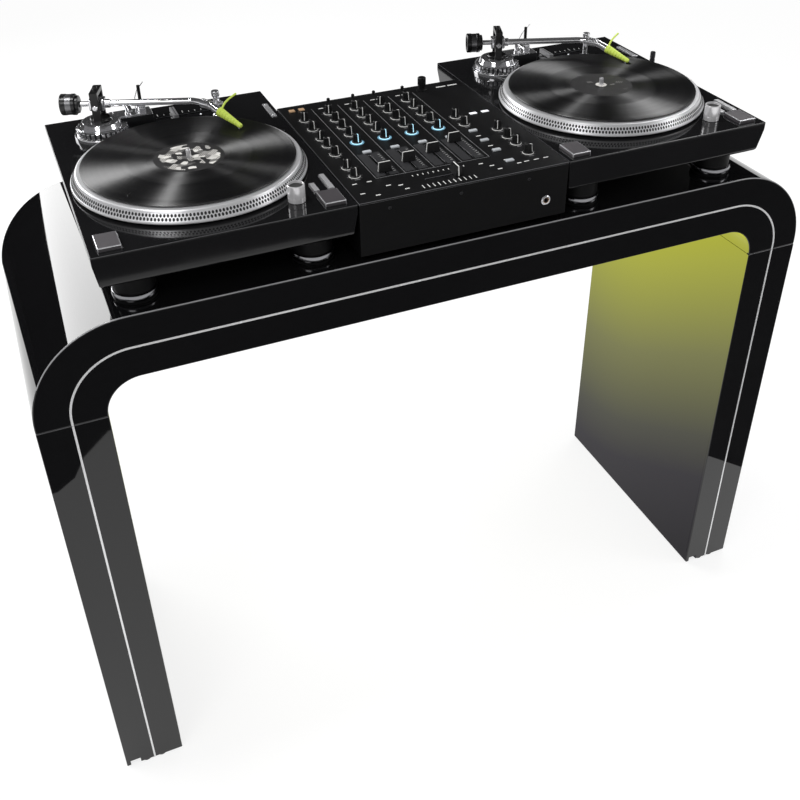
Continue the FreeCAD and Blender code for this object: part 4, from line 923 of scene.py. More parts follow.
@dataclass
class Stand:
    """The bridge-shaped stand: top with rounded shoulders, two legs, inlays, and sheets with painted lime
    light.
    """

    thickness: float = 96.0
    outer_radius: float = 142.0
    inner_radius: float = 52.0
    edge: float = 2.0
    arc_steps: int = 24
    inlay_width: float = 3.0
    inlay_depth: float = 1.2
    notch_side: float = 7.0
    notch_width: float = 17.0
    notch_height: float = 10.0
    glow_proud: float = 0.4
    glow_thickness: float = 1.2
    glow_margin: float = 5.0
    glow_bottom: float = 27.0
    cover_half: float = 7.0
    cover_inset: float = 9.0
    cover_end: float = 4.0
    seam: float = 1.2
    seam_margin: float = 2.5
    inlay_gap: float = 0.6
    inlay_rounding: float = 0.3

    def __post_init__(self) -> None:
        """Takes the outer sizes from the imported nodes."""
        self.low, self.high = box("bridge_top")
        self.depth = self.high.y - self.low.y
        self.floor = box("left_leg")[0].z
        self.inlay_front = box("inlay_strips")[0].y

    def arch(self, inset: float, thickness: float) -> list[Pair]:
        """Gives the outline of a band along the bridge, from seam to seam.

        Args:
            inset: How far the band's outside lies within the bridge's.
            thickness: The band's own thickness.

        Returns:
            The outline's points, in X and Z.
        """
        half, top = self.high.x - inset, self.high.z - inset
        outer = self.outer_radius - inset
        centre, rise = half - outer, top - outer
        inner = outer - thickness
        if inset == 0:
            inner = self.inner_radius
        core, core_rise = half - thickness - inner, top - thickness - inner
        points = [(-half, self.low.z)]
        points += arc((-centre, rise), outer, 180, 90, self.arc_steps)
        points += arc((centre, rise), outer, 90, 0, self.arc_steps)
        points += [(half, self.low.z), (half - thickness, self.low.z)]
        points += arc((core, core_rise), inner, 0, 90, self.arc_steps)[1:]
        points += arc((-core, core_rise), inner, 90, 180, self.arc_steps)[:-1]
        return points + [(thickness - half, self.low.z)]

    def upright(self, name: str, outline: Sequence[Pair], front: float, depth: float) -> Solid:
        """Extrudes an outline in X and Z along Y, from a front."""
        return prism(name, [(x, front, z) for x, z in outline], (0.0, depth, 0.0))

    def build(self) -> None:
        """Models the stand."""
        shell = self.upright("bridge_shell", self.arch(0, self.thickness), self.low.y, self.depth)
        self.bridge = soften(shell, self.edge, 3)
        left, right = self.low.x, self.low.x + self.thickness
        start, end = left + self.notch_side, left + self.notch_side + self.notch_width
        sill = self.floor + self.notch_height
        outline = [(left, self.floor), (start, self.floor), (start, sill), (end, sill), (end, self.floor),
                   (right, self.floor), (right, self.low.z), (left, self.low.z)]
        leg = soften(self.upright("left_leg_shell", outline, self.low.y, self.depth), self.edge * 0.6, 3)
        self.legs = [leg, copy_at(leg, "right_leg_shell", place(self.high.x - right, 0, 0))]
        self.inlays = self.build_inlays()
        self.glow = self.build_glow()

    def build_inlays(self) -> Solid:
        """Models the bright strip along the middle of the front edge.

        Returns:
            The strips as one piece.
        """
        inset = (self.thickness - self.inlay_width) / 2
        outline = self.arch(inset, self.inlay_width)
        strips = [self.upright("arch_strip", outline, self.inlay_front, self.inlay_depth)]
        soften(strips[0], self.inlay_rounding)
        back = self.inlay_front + self.inlay_depth
        for start in (self.low.x + inset, self.high.x - inset - self.inlay_width):
            low = (start, self.inlay_front, self.floor)
            high = (start + self.inlay_width, back, self.low.z - self.inlay_gap)
            strips.append(slab("leg_strip", low, high, self.inlay_rounding))
        return join(strips, "bright_inlay_strips")

    def build_glow(self) -> Solid:
        """Models the sheets that carry the painted lime light inside the legs, over the inner rounding,
        and the lamp covers.

        Returns:
            The sheets and covers as one piece.
        """
        wall = self.high.x - self.thickness
        centre = (wall - self.inner_radius, self.high.z - self.thickness - self.inner_radius)
        near = self.inner_radius - self.glow_proud
        far = near + self.glow_thickness
        inside, outside = wall - self.glow_proud, wall - self.glow_proud + self.glow_thickness
        low, seam = self.glow_bottom, self.low.z - self.seam / 2
        straight = [(inside, low), (inside, seam), (outside, seam), (outside, low)]
        curved = [(inside, seam + self.seam)] + arc(centre, near, 1, 90, self.arc_steps)
        curved += arc(centre, far, 90, 1, self.arc_steps) + [(outside, seam + self.seam)]
        front, depth = self.low.y + self.glow_margin, self.depth - 2 * self.glow_margin
        pieces = []
        bar_low, bar_high = box("light_bar")
        for side in (-1, 1):
            for outline in (straight, curved):
                sheet = self.upright("glow_sheet", [(side * x, z) for x, z in outline], front, depth)
                pieces.append(soften(sheet, 0.2))
            middle = side * (bar_high.x - self.cover_inset)
            corner = (middle - self.cover_half, bar_low.y + self.cover_end, bar_low.z - 0.4)
            other = (middle + self.cover_half, bar_high.y - self.cover_end, bar_low.z + 2)
            pieces.append(slab("lamp_cover", corner, other, 0.4))
        return join(pieces, "lime_glow_sheets")

    def inside(self, middle: Vector, normal: Vector) -> bool:
        """Tells whether a face is on the inside of a leg or of a shoulder, where lime light is painted on.
        """
        inward = normal.x * middle.x < 0 and abs(normal.x) > 0.15 and abs(normal.y) < 0.1
        return inward and abs(middle.z - self.low.z) > self.seam_margin

    def front_highlight_edge(self, middle: Vector, normal: Vector) -> bool:
        """Tells whether a face is on the upper rounding of the front, where a highlight is painted."""
        return middle.y < self.low.y + self.edge and normal.y < -0.2 and normal.z > 0.3

    def finish(self) -> None:
        """Dresses the stand, paints a highlight on its front rounding and lime light on its insides, and
        hands its pieces to the frame.
        """
        dress(self.bridge, LACQUER)
        # Painted highlight: the upper front rounding of the bridge gets a lighter grey.
        paint(self.bridge, LACQUER_EDGE_HIGHLIGHT, self.front_highlight_edge)
        # Painted light: the inner faces of the shoulders glow with the lime ramp.
        paint(self.bridge, PAINTED_LIME_LIGHT, self.inside)
        fit(self.bridge, "booth", "black_lacquer", "bridge_top")
        for leg, node in zip(self.legs, ("left_leg", "right_leg")):
            dress(leg, LACQUER)
            # Painted highlight: the upper front rounding of each leg gets a lighter grey.
            paint(leg, SEAM_EDGE_HIGHLIGHT, self.front_highlight_edge)
            # Painted light: the inner faces of each leg glow with the lime ramp.
            paint(leg, PAINTED_LIME_LIGHT, self.inside)
            fit(leg, "booth", "black_lacquer", node)
        dress(self.inlays, INLAY)
        fit(self.inlays, "booth", "inlay_metal", "inlay_strips")
        # Painted light: the sheets and lamp covers glow with the lime ramp.
        dress(self.glow, PAINTED_LIME_LIGHT)
        fit(self.glow, "booth", "opal_acrylic", "glow_sheets")
        keep("leg_bolts", STEEL)
        keep("leg_glides", GLIDE)
        keep("light_bar", CHANNEL)


@dataclass
class Deck:
    """One turntable, with its record, arm, controls and feet."""

    name: str
    label: Label
    rim_radius: float = 166.0
    land_radius: float = 155.5
    slope_radius: float = 158.0
    lip_bottom: float = 3.2
    lip_top: float = 5.5
    slope_top: float = 18.5
    land: float = 20.0
    spindle_radius: float = 3.6
    spindle_top: float = 35.7
    dot_count: int = 210
    dot_rows: Pair = (0.34, 0.68)
    dot_half: Pair = (1.7, 2.35)
    mat_radius: float = 148.0
    mat_top: float = 21.5
    record_radius: float = 150.8
    record_top: float = 23.7
    record_hole: float = 3.95
    label_radius: float = 50.0
    arm_turn: float = -20.0
    tube_radius: float = 5.0
    tube_straight: float = 136.0
    bend_radius: float = 30.0
    bend: float = 37.0
    collar_radius: float = 7.0
    collar_length: float = 16.0
    neck: float = 5.0
    cartridge_slope: float = 19.5
    cartridge_length: float = 64.0
    cartridge_radius: float = 6.9
    cartridge_taper: float = 2.7
    sleeve_length: float = 19.0
    weight_radius: float = 16.0
    weight_start: float = 27.0
    weight_end: float = 54.0
    teeth: int = 30
    foot_side: float = 124.0
    foot_back: float = 180.0
    round_steps: int = 144
    dot_corners: int = 12
    dot_height: float = 0.22
    dot_taper: float = 0.86
    band_depth: float = 0.3
    plate_screw_rows: Pair = (116.0, 162.0)
    pitch_lamp_spot: Pair = (60.0, 171.0)
    fins: int = 6
    fin_pitch: float = 5.2

    def __post_init__(self) -> None:
        """Takes the deck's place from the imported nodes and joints."""
        low, high = box(self.name + "_plinth")
        self.middle = Vector(((low.x + high.x) / 2, (low.y + high.y) / 2, high.z))
        self.stand_top = box("foot_pads")[0].z
        self.skirt_bottom = low.z
        self.axis = joint_place(self.name + "_platter_spin")
        self.pivot = joint_place(self.name + "_arm_swing")

    def on_top(self, x: float, y: float, z: float = 0.0) -> Matrix:
        """Gives a place measured from the middle of the deck's top."""
        return place(self.middle.x + x, self.middle.y + y, self.middle.z + z)

    def on_axis(self) -> Matrix:
        """Gives the platter's axis at the height of the deck's top."""
        return place(self.axis.x, self.axis.y, self.middle.z)

    def on_arm(self, x: float = 0.0, y: float = 0.0, z: float = 0.0, turn: float = 0.0) -> Matrix:
        """Gives a place measured along and across the arm from its pivot."""
        pivot = place(self.pivot.x, self.pivot.y, self.pivot.z, self.arm_turn)
        return pivot @ place(x, y, z, turn)

    def at_pivot(self) -> Matrix:
        """Gives the foot of the arm's upright axis at the height of the deck's top."""
        return place(self.pivot.x, self.pivot.y, self.middle.z)

    def rounded(self, word: str, name: str, width: float, slot: str, *finishes: Finish) -> None:
        """Rounds one of the deck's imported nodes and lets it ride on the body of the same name."""
        made = softened(self.piece(word), self.piece(name), width, *finishes)
        fit(made, self.piece(word), slot, self.piece(word))

    def piece(self, word: str) -> str:
        """Gives the name of one of this deck's pieces."""
        return f"{self.name}_{word}"

    def build(self) -> None:
        """Models the turntable piece by piece and hands each piece to the frame."""
        self.build_plinth()
        self.build_platter()
        self.build_record()
        self.build_arm_base()
        self.build_arm()
        self.build_cartridge()
        self.build_controls()
        self.build_feet()

    def build_plinth(self) -> None:
        """Rounds the deck body and adds the plate, the lamp and the marks on its top."""
        body = softened(self.piece("plinth"), self.piece("body"), 0.9, DECK_GLOSS)
        top = self.middle.z
        # Painted highlight: the rounding round the deck's top gets a lighter grey.
        paint(body, DECK_EDGE_HIGHLIGHT, lambda spot, normal: top - 1 < spot.z < top and 0.3 < normal.z < 0.9)
        fit(body, "booth", "deck_gloss", self.piece("plinth"))
        bar = slab(self.piece("hinge_plate"), (161, 110, 0), (169, 168, 1.6), 0.6)
        profile = [(0, 0.7), (0.5, 0.7), (0.6, 0.9), (1.3, 0.8), (1.8, 0.3), (1.9, -0.3)]
        head = lathe("screw_head", profile, 16)
        screws = repeat(head, "plate_screws", [place(165, y, 1.6) for y in self.plate_screw_rows])
        plate = settle(join([bar, screws], self.piece("hinge_plate")), self.on_top(0, 0))
        fit(dress(plate, KEY_EDGE), "booth", "key_metal")
        lamp = lathe(self.piece("pitch_lamp"), [(0, 1.2), (0.9, 1.0), (1.5, 0.4), (1.5, -0.6)], 16)
        settle(lamp, self.on_top(*self.pitch_lamp_spot))
        fit(dress(lamp, WHITE_LAMP), "booth", "button_grey")
        marks = [slab("mark", (x - 0.4, 190, 0), (x + 0.4, 194 if index % 4 else 198, 0.15), 0.05, 1)
                 for index, x in enumerate(range(-5, 96, 10))]
        scale = settle(join(marks, self.piece("pitch_marks")), self.on_top(0, 0))
        fit(dress(scale, INK), "booth", "button_grey")

    def build_platter(self) -> None:
        """Models the platter with its spindle and the dots round its rim."""
        rise, run = self.slope_top - self.lip_top, self.rim_radius - self.slope_radius
        slope = math.hypot(rise, run)
        outward = Vector((rise, 0, run)) / slope
        down = Vector((run, 0, -rise)) / slope
        shoulder = Vector((self.slope_radius, 0, self.slope_top))

        def on_slope(share: float, proud: float) -> Vector:
            """Gives a point on the sloping rim."""
            return shoulder + down * slope * share + outward * proud

        depth = -self.band_depth
        band = [on_slope(*spot) for spot in ((0.1, 0), (0.13, depth), (0.86, depth), (0.89, 0))]
        profile = [(0, self.spindle_top), (2.4, self.spindle_top - 0.1), (3.3, self.spindle_top - 0.9),
                   (self.spindle_radius, self.spindle_top - 2.2), (self.spindle_radius, self.land),
                   (self.land_radius, self.land), (self.land_radius + 1.2, self.land - 0.3),
                   (self.slope_radius - 0.3, self.slope_top + 0.5), (self.slope_radius, self.slope_top)]
        profile += [(point.x, point.z) for point in band]
        profile += [(self.rim_radius - 0.4, self.lip_top + 0.5), (self.rim_radius, self.lip_top - 0.4),
                    (self.rim_radius, self.lip_bottom + 0.6), (self.rim_radius - 0.6, self.lip_bottom),
                    (0, self.lip_bottom)]
        disc = lathe(self.piece("strobe_platter"), profile, self.round_steps, math.radians(22))
        settle(disc, self.on_axis())
        finish = replace(PLATTER, name=self.piece("platter_metal"), centre=tuple(self.axis))
        dress(disc, finish)
        reach, axis = self.spindle_radius + 0.5, self.axis
        paint(disc, KEY_EDGE, lambda spot, normal: math.hypot(spot.x - axis.x, spot.y - axis.y) < reach)
        fit(disc, self.piece("turning"), "platter_metal", self.piece("platter"))
        rows = []
        facing = Matrix((Vector((0, 1, 0)), down, outward)).transposed().to_4x4()
        size = Matrix.Diagonal((self.dot_half[0] * MM, self.dot_half[1] * MM, MM, 1))
        for row, share in enumerate(self.dot_rows):
            spot = Matrix.Translation(on_slope(share, depth) * MM)
            rows.append(self.dot_row(spot @ facing @ size, row / 2))
        dots = settle(join(rows, self.piece("strobe_dots")), self.on_axis())
        fit(dress(dots, DOT), self.piece("turning"), "control_black")

    def dot_row(self, where: Matrix, shift: float) -> Solid:
        """Models one strobe dot and spins copies of it round the platter.

        Args:
            where: Place and size of the first dot.
            shift: How far the row is turned, in steps.

        Returns:
            The row of dots, round the origin.
        """
        bpy.ops.mesh.primitive_circle_add(vertices=self.dot_corners, radius=1, fill_type="NGON")
        dot = bpy.context.object
        with editing(dot):
            bpy.ops.mesh.extrude_region_move(TRANSFORM_OT_translate={"value": (0, 0, self.dot_height)})
            bpy.ops.transform.resize(value=(self.dot_taper, self.dot_taper, 1))
        tidy(dot)
        settle(dot, where)
        step = FULL_TURN / self.dot_count
        settle(dot, Matrix.Rotation(shift * step, 4, "Z"))
        with editing(dot):
            bpy.ops.mesh.spin(steps=self.dot_count - 1, dupli=True, angle=FULL_TURN - step,
                              center=(0, 0, 0), axis=(0, 0, 1))
        return dot

    def build_record(self) -> None:
        """Models the slipmat and the record with its label."""
        hole, face = self.spindle_radius + 0.4, self.mat_top - 0.02
        mat = [(hole, self.land), (hole, face), (self.mat_radius - 0.6, face),
               (self.mat_radius, self.mat_top - 0.5), (self.mat_radius, self.land), (hole, self.land)]
        slipmat = settle(lathe(self.piece("felt_mat"), mat, 96), self.on_axis())
        fit(dress(slipmat, FELT), self.piece("turning"), "felt", self.piece("slipmat"))
        top, edge = self.record_top, self.record_radius
        hole, under = self.record_hole, self.mat_top
        profile = [(hole, under), (hole, top - 0.3), (hole + 0.4, top), (self.label_radius, top),
                   (self.label_radius + 0.6, top - 0.25), (57.5, top - 0.25), (58, top), (59.2, top),
                   (60, top - 0.2), (145.5, top - 0.2), (146.4, top), (edge - 0.8, top - 0.1),
                   (edge, top - 0.9), (edge - 0.4, under + 0.2), (edge - 1.5, under), (hole, under)]
        record = lathe(self.piece("vinyl_record"), profile, self.round_steps)
        settle(record, self.on_axis())
        dress(record, replace(VINYL, name=self.piece("vinyl"), centre=tuple(self.axis)))
        height = self.middle.z + top - 0.5
        centre = self.axis

        def on_label(middle: Vector, normal: Vector) -> bool:
            """Tells whether a face is part of the printed label."""
            reach = math.hypot(middle.x - centre.x, middle.y - centre.y)
            return reach < self.label_radius and middle.z > height and normal.z > 0.5

        paint(record, replace(self.label, centre=tuple(centre)), on_label)
        fit(record, self.piece("turning"), "vinyl", self.piece("record"))

    def build_arm_base(self) -> None:
        """Models the arm base with its height ring, the lifter and the arm rest."""
        profile = [(0, 0), (42, 0), (42, 4.8), (41.2, 6), (37, 6), (36, 6.6), (36, 15.4), (35.2, 16),
                   (32, 16), (31.2, 17), (28.6, 23.2), (27.6, 24), (18, 24), (17.4, 23), (0, 23)]
        base = lathe("base", profile, 64)
        tooth = slab("tooth", (35, -2.5, 7), (38.4, 2.5, 15), 0.7)
        step = 360 / self.teeth
        ring = repeat(tooth, "teeth", [place(0, 0, 0, index * step) for index in range(self.teeth)])
        block = slab("lifter_block", (16, -2, 0), (80, 32, 22), 1.6, 3)
        plate = slab("lifter_plate", (22, 2, 21.5), (60, 28, 23), 0.5)
        bar = slab("lifter_bar", (40, -24, 37.5), (47, 14, 41), 1.2, 3)
        post = lathe("lifter_post", [(0, 38), (3.4, 38), (3.4, 26), (4.6, 25.4), (4.6, 22), (0, 22)], 24)
        settle(post, place(43.5, 9, 0))
        ears = [slab("ear", (60.5, y, 21), (71.5, y + 3, 33), 1.0) for y in (11.5, 25.5)]
        profile = [(0, 0), (7, 0), (7, 3), (6.2, 4), (4.5, 4.6), (4.5, 32), (5.6, 33), (6.5, 34.4),
                   (6.5, 40.6), (5.6, 42), (0, 42)]
        rest = lathe("rest", profile, 32)
        settle(rest, place(180, 0, 0))
        saddle = slab("saddle", (176, -34, 30), (184, 0, 33), 1.0)
        lip = slab("lip", (176, -34, 31), (184, -31.5, 36), 0.8)
        made = join([base, ring, block, plate, bar, post, *ears, rest, saddle, lip],
                    self.piece("arm_base"))
        dress(settle(made, self.at_pivot()), ARM_CHROME)
        low, pivot = self.middle.z, self.pivot

        def dark(middle: Vector, normal: Vector) -> bool:
            """Tells whether a face lies on the dark lifter block, or in the gaps of the ring, where shade
            is painted as dark metal.

            Args:
                middle: The face's middle in millimetres.
                normal: Its normal.

            Returns:
                Whether the face passes.
            """
            across, along, height = middle.x - pivot.x, middle.y - pivot.y, middle.z - low
            in_block = across > 44 and height < 21.4 and across < 90
            # Painted shade: the recessed faces between the teeth of the height ring.
            in_shaded_gap = math.hypot(across, along) < 36.4 and 6.4 < height < 15.6 and abs(normal.z) < 0.3
            return in_block or in_shaded_gap

        paint(made, ARM_DARK, dark)
        fit(made, "booth", "arm_chrome", "arm_bases")
        mark = slab("mark", (36.6, -0.5, 5.9), (41.2, 0.5, 6.15), 0.05, 1)
        places = [place(0, 0, 0, angle) for angle in range(200, 345, 12)]
        marks = repeat(mark, self.piece("base_marks"), places)
        fit(dress(settle(marks, self.at_pivot()), INK), "booth", "button_grey")
        bends = [(58, 30, 22), (60, 30, 40), (64, 26, 52), (74, 20, 66)]
        hook = settle(tube(self.piece("hook_wire"), bends, 0.7), self.at_pivot())
        fit(dress(hook, ARM_CHROME), "booth", "arm_chrome")

    def build_arm(self) -> None:
        """Models the yoke, the arm tube with its block and collar, and the counterweight."""
        yoke = softened(self.piece("arm_gimbal"), self.piece("yoke"), 1.1, YOKE_BLACK)
        fit(yoke, self.piece("gimbal"), "yoke_black", self.piece("arm_gimbal"))
        profile = [(0, 1.6), (0.8, 1.6), (1.1, 2.2), (3.6, 2.2), (4.2, 1.4), (4.2, -0.4), (0, -0.4)]
        pin = lathe("pin", profile, 24)
        sideways = Matrix.Rotation(math.radians(90), 4, "X")
        pins = repeat(pin, self.piece("pivot_pins"), [
            self.on_arm(0, 19, 0) @ sideways.inverted(), self.on_arm(0, -19, 0) @ sideways])
        fit(dress(pins, ARM_CHROME), self.piece("gimbal"), "arm_chrome")
        path = [(10.0, 0.0, 0.0)]
        centre = (self.tube_straight, -self.bend_radius)
        path += [(x, y, 0.0) for x, y in arc(centre, self.bend_radius, 90, 90 - self.bend, 12)]
        end = Vector(path[-1])
        ahead = Vector((math.cos(math.radians(self.bend)), -math.sin(math.radians(self.bend)), 0))
        path.append(tuple(end + ahead * (self.neck + 1)))
        bar = tube("arm_tube", path, self.tube_radius)
        stub = tube("arm_stub", [(-10, 0, 0), (-52, 0, 0)], 4.0)
        block = slab("arm_block", (-12, -9, -9), (12, 9, 9), 2.2, 3)
        sleeve = lathe("sleeve", [(0, 11), (6.6, 11), (6.6, 18), (6.0, 18.8), (5.2, 19), (0, 19)], 32)
        lengthways = Matrix.Rotation(math.radians(90), 4, "Y")
        settle(sleeve, lengthways)
        wide = self.collar_radius
        ribs = [(0, 0), (5.6, 0), (wide - 0.6, 0.6)]
        for start in (1.2, 5.2, 9.2):
            ribs += [(wide, start), (wide, start + 2.6), (6.1, start + 3.0), (6.1, start + 3.6)]
        ribs += [(wide, 13.4), (wide, 15.4), (6.2, self.collar_length), (0, self.collar_length)]
        collar = lathe("collar", ribs, 32)
        start = end + ahead * self.neck
        settle(collar, place(start.x, start.y, 0, -self.bend) @ lengthways)
        arm = settle(join([bar, stub, block, sleeve, collar], self.piece("arm_bar")), self.on_arm())
        fit(dress(arm, ARM_CHROME), self.piece("arm"), "arm_chrome", self.piece("tonearm"))
        radius, first, last = self.weight_radius, self.weight_start, self.weight_end
        profile = [(5.2, first), (12, first), (13.2, first + 0.8), (13.2, first + 4),
                   (radius - 1, first + 4.4), (radius, first + 5.4), (radius, first + 10),
                   (radius - 0.5, first + 10.4), (radius - 0.5, last - 8.4), (radius, last - 8),
                   (radius, last - 1.2), (radius - 1.2, last), (11.6, last), (11, last - 0.8),
                   (11, last - 11.6), (5.2, last - 12), (5.2, first)]
        weight = lathe(self.piece("balance_weight"), profile, 48)
        settle(weight, self.on_arm() @ Matrix.Rotation(math.radians(-90), 4, "Y"))
        dress(weight, WEIGHT_BLACK)
        inverse = self.on_arm().inverted()

        def on_band(middle: Vector, normal: Vector) -> bool:
            """Tells whether a face lies on the grey dial band of the weight.

            Args:
                middle: The face's middle in millimetres.
                normal: Its normal.

            Returns:
                Whether the face passes.
            """
            local = inverse @ (middle * MM) / MM
            reach = math.hypot(local.y, local.z)
            return first + 10.2 < -local.x < last - 8.2 and reach > radius - 1.5

        paint(weight, WEIGHT_BAND, on_band)
        fit(weight, self.piece("counterweight"), "weight_black", self.piece("counterweight"))

    def build_cartridge(self) -> None:
        """Models the lime cartridge with its finger lift and needle."""
        reach = self.neck + self.collar_length
        bend = math.radians(self.bend)
        head = Vector((self.tube_straight + self.bend_radius * math.sin(bend) + reach * math.cos(bend),
                       -self.bend_radius * (1 - math.cos(bend)) - reach * math.sin(bend), 0))
        length, radius, start = self.cartridge_length, self.cartridge_radius, self.sleeve_length
        tilt = Matrix.Rotation(math.radians(90 + self.cartridge_slope), 4, "Y")
        where = self.on_arm(head.x, head.y, 0, -self.bend)
        profile = [(0, 0), (5.4, 0), (6, 0.6), (6, 6), (5.4, 6.5), (5.4, 8.5), (6.2, 9),
                   (6.2, start - 0.6), (5.6, start), (0, start)]
        sleeve = lathe("sleeve", profile, 32)
        settle(sleeve, tilt)
        needle = tube("needle", [(53, 0, -20), (54.5, 0, -25.9)], 0.5)
        holder = settle(join([sleeve, needle], self.piece("head_sleeve")), where)
        fit(dress(holder, ARM_CHROME), self.piece("arm"), "arm_chrome")
        profile = [(0, start - 0.4), (radius - 0.6, start - 0.4), (radius, start + 0.3),
                   (radius, start + 5)]
        for index in range(self.fins):
            along = start + 5.6 + index * self.fin_pitch
            wide = radius - self.cartridge_taper * (index + 1) / self.fins
            profile += [(wide - 0.5, along), (wide, along + 0.4), (wide, along + 4.2),
                        (wide - 0.5, along + 4.6)]
        tip = radius - self.cartridge_taper
        profile += [(tip - 0.3, length - 5), (tip - 0.6, length - 2), (tip - 1.6, length - 0.4),
                    (0, length)]
        body = settle(lathe("cartridge_body", profile, 32), tilt)
        lift = [(18.5, 5.0, -5.0), (19.0, 8.0, -0.5), (19.5, 13.0, 3.6), (20.0, 20.0, 6.4),
                (20.6, 28.0, 8.6), (21.2, 36.0, 10.4)]
        finger = tube("finger_lift", lift, 1.6)
        shell = settle(join([body, finger], self.piece("lime_cartridge")), where)
        fit(dress(shell, LIME), self.piece("arm"), "cartridge_lime", self.piece("cartridge"))

    def build_controls(self) -> None:
        """Models the keys, the power tower, the pop-up light, the pitch slider and the cue lever."""
        for word in ("start_left", "start_right"):
            self.rounded(word, word + "_key", 1.1, "key_metal", KEY_TOP, KEY_EDGE)
        for word in ("speed_33", "speed_45"):
            self.rounded(word, word + "_key", 0.7, "control_black", SPEED_KEY, KEY_EDGE)
        low, high = box(self.piece("power_dial"))
        radius = (high.x - low.x) / 2
        tall = high.z - self.middle.z
        profile = [(0, tall - 3), (radius - 2.2, tall - 3), (radius - 2.0, tall - 2.6),
                   (radius - 2.0, tall - 0.4), (radius - 1.6, tall), (radius - 0.7, tall),
                   (radius, tall - 0.7), (radius, 8.6), (radius - 0.4, 8.2), (radius - 0.4, 7.6),
                   (radius, 7.2), (radius, 0.7), (radius - 0.4, 0.3), (0, 0.3)]
        tower = lathe(self.piece("power_tower"), profile, 48)
        middle = (low + high) / 2
        settle(tower, place(middle.x, middle.y, self.middle.z))
        dress(tower, replace(TOWER, name=self.piece("tower_metal"), centre=tuple(middle)))
        recess = high.z - 2.0
        paint(tower, CONTROL_BLACK, lambda spot, normal: recess - 1.5 < spot.z < recess and normal.z > 0.5)
        fit(tower, self.piece("power_dial"), "key_metal", self.piece("power_dial"))
        low, high = box(self.piece("target_light"))
        radius = (high.x - low.x) / 2
        profile = [(0, 0), (radius - 0.4, 0), (radius, 0.4), (radius, 25), (radius - 0.7, 25.4),
                   (radius - 0.7, 27), (radius, 27.4), (radius, 37), (radius - 1, 38), (0, 38)]
        middle = (low + high) / 2
        peg = settle(lathe(self.piece("pop_up_light"), profile, 32), place(middle.x, middle.y, low.z))
        fit(dress(peg, PEG), self.piece("target_light"), "peg_metal", self.piece("target_light"))
        self.rounded("pitch_fader", "pitch_cap", 0.9, "control_black", CONTROL_GREY)
        low, high = box(self.piece("pitch_fader"))
        x, top = (low.x + high.x) / 2, high.z
        corner, other = (x - 0.6, low.y + 1.2, top - 0.2), (x + 0.6, high.y - 1.2, top + 0.12)
        line = slab(self.piece("pitch_line"), corner, other, 0.05, 1)
        fit(dress(line, CONTROL_BLACK), self.piece("pitch_fader"), "control_black")
        self.rounded("cue_lever", "cue_stick", 0.7, "lever_black", LEVER)

    def build_feet(self) -> None:
        """Models the isolation feet and their chrome rings."""
        height = self.skirt_bottom - self.stand_top
        profile = [(0, 0), (29.5, 0), (29.5, 3.4), (28.8, 4), (28, 4.6), (28, 13), (26.8, 13.8),
                   (26.8, 16), (28, 16.8), (28, height - 3), (29, height), (0, height)]
        foot = lathe("foot", profile, 48)
        profile = [(27, 4), (30, 4), (31, 5), (31.3, 7), (31, 10), (30.2, 12.4), (29, 13), (27, 13),
                   (27, 4)]
        ring = lathe("ring", profile, 64)
        fall = self.stand_top - self.middle.z
        corners = [self.on_top(side * self.foot_side, back * self.foot_back, fall)
                   for side in (-1, 1) for back in (-1, 1)]
        feet = repeat(foot, self.piece("isolation_feet"), corners)
        fit(dress(feet, RUBBER), "booth", "foot_rubber", "foot_pads")
        rings = repeat(ring, self.piece("foot_chrome_rings"), corners)
        fit(dress(rings, CHROME), "booth", "foot_chrome", "foot_rings")


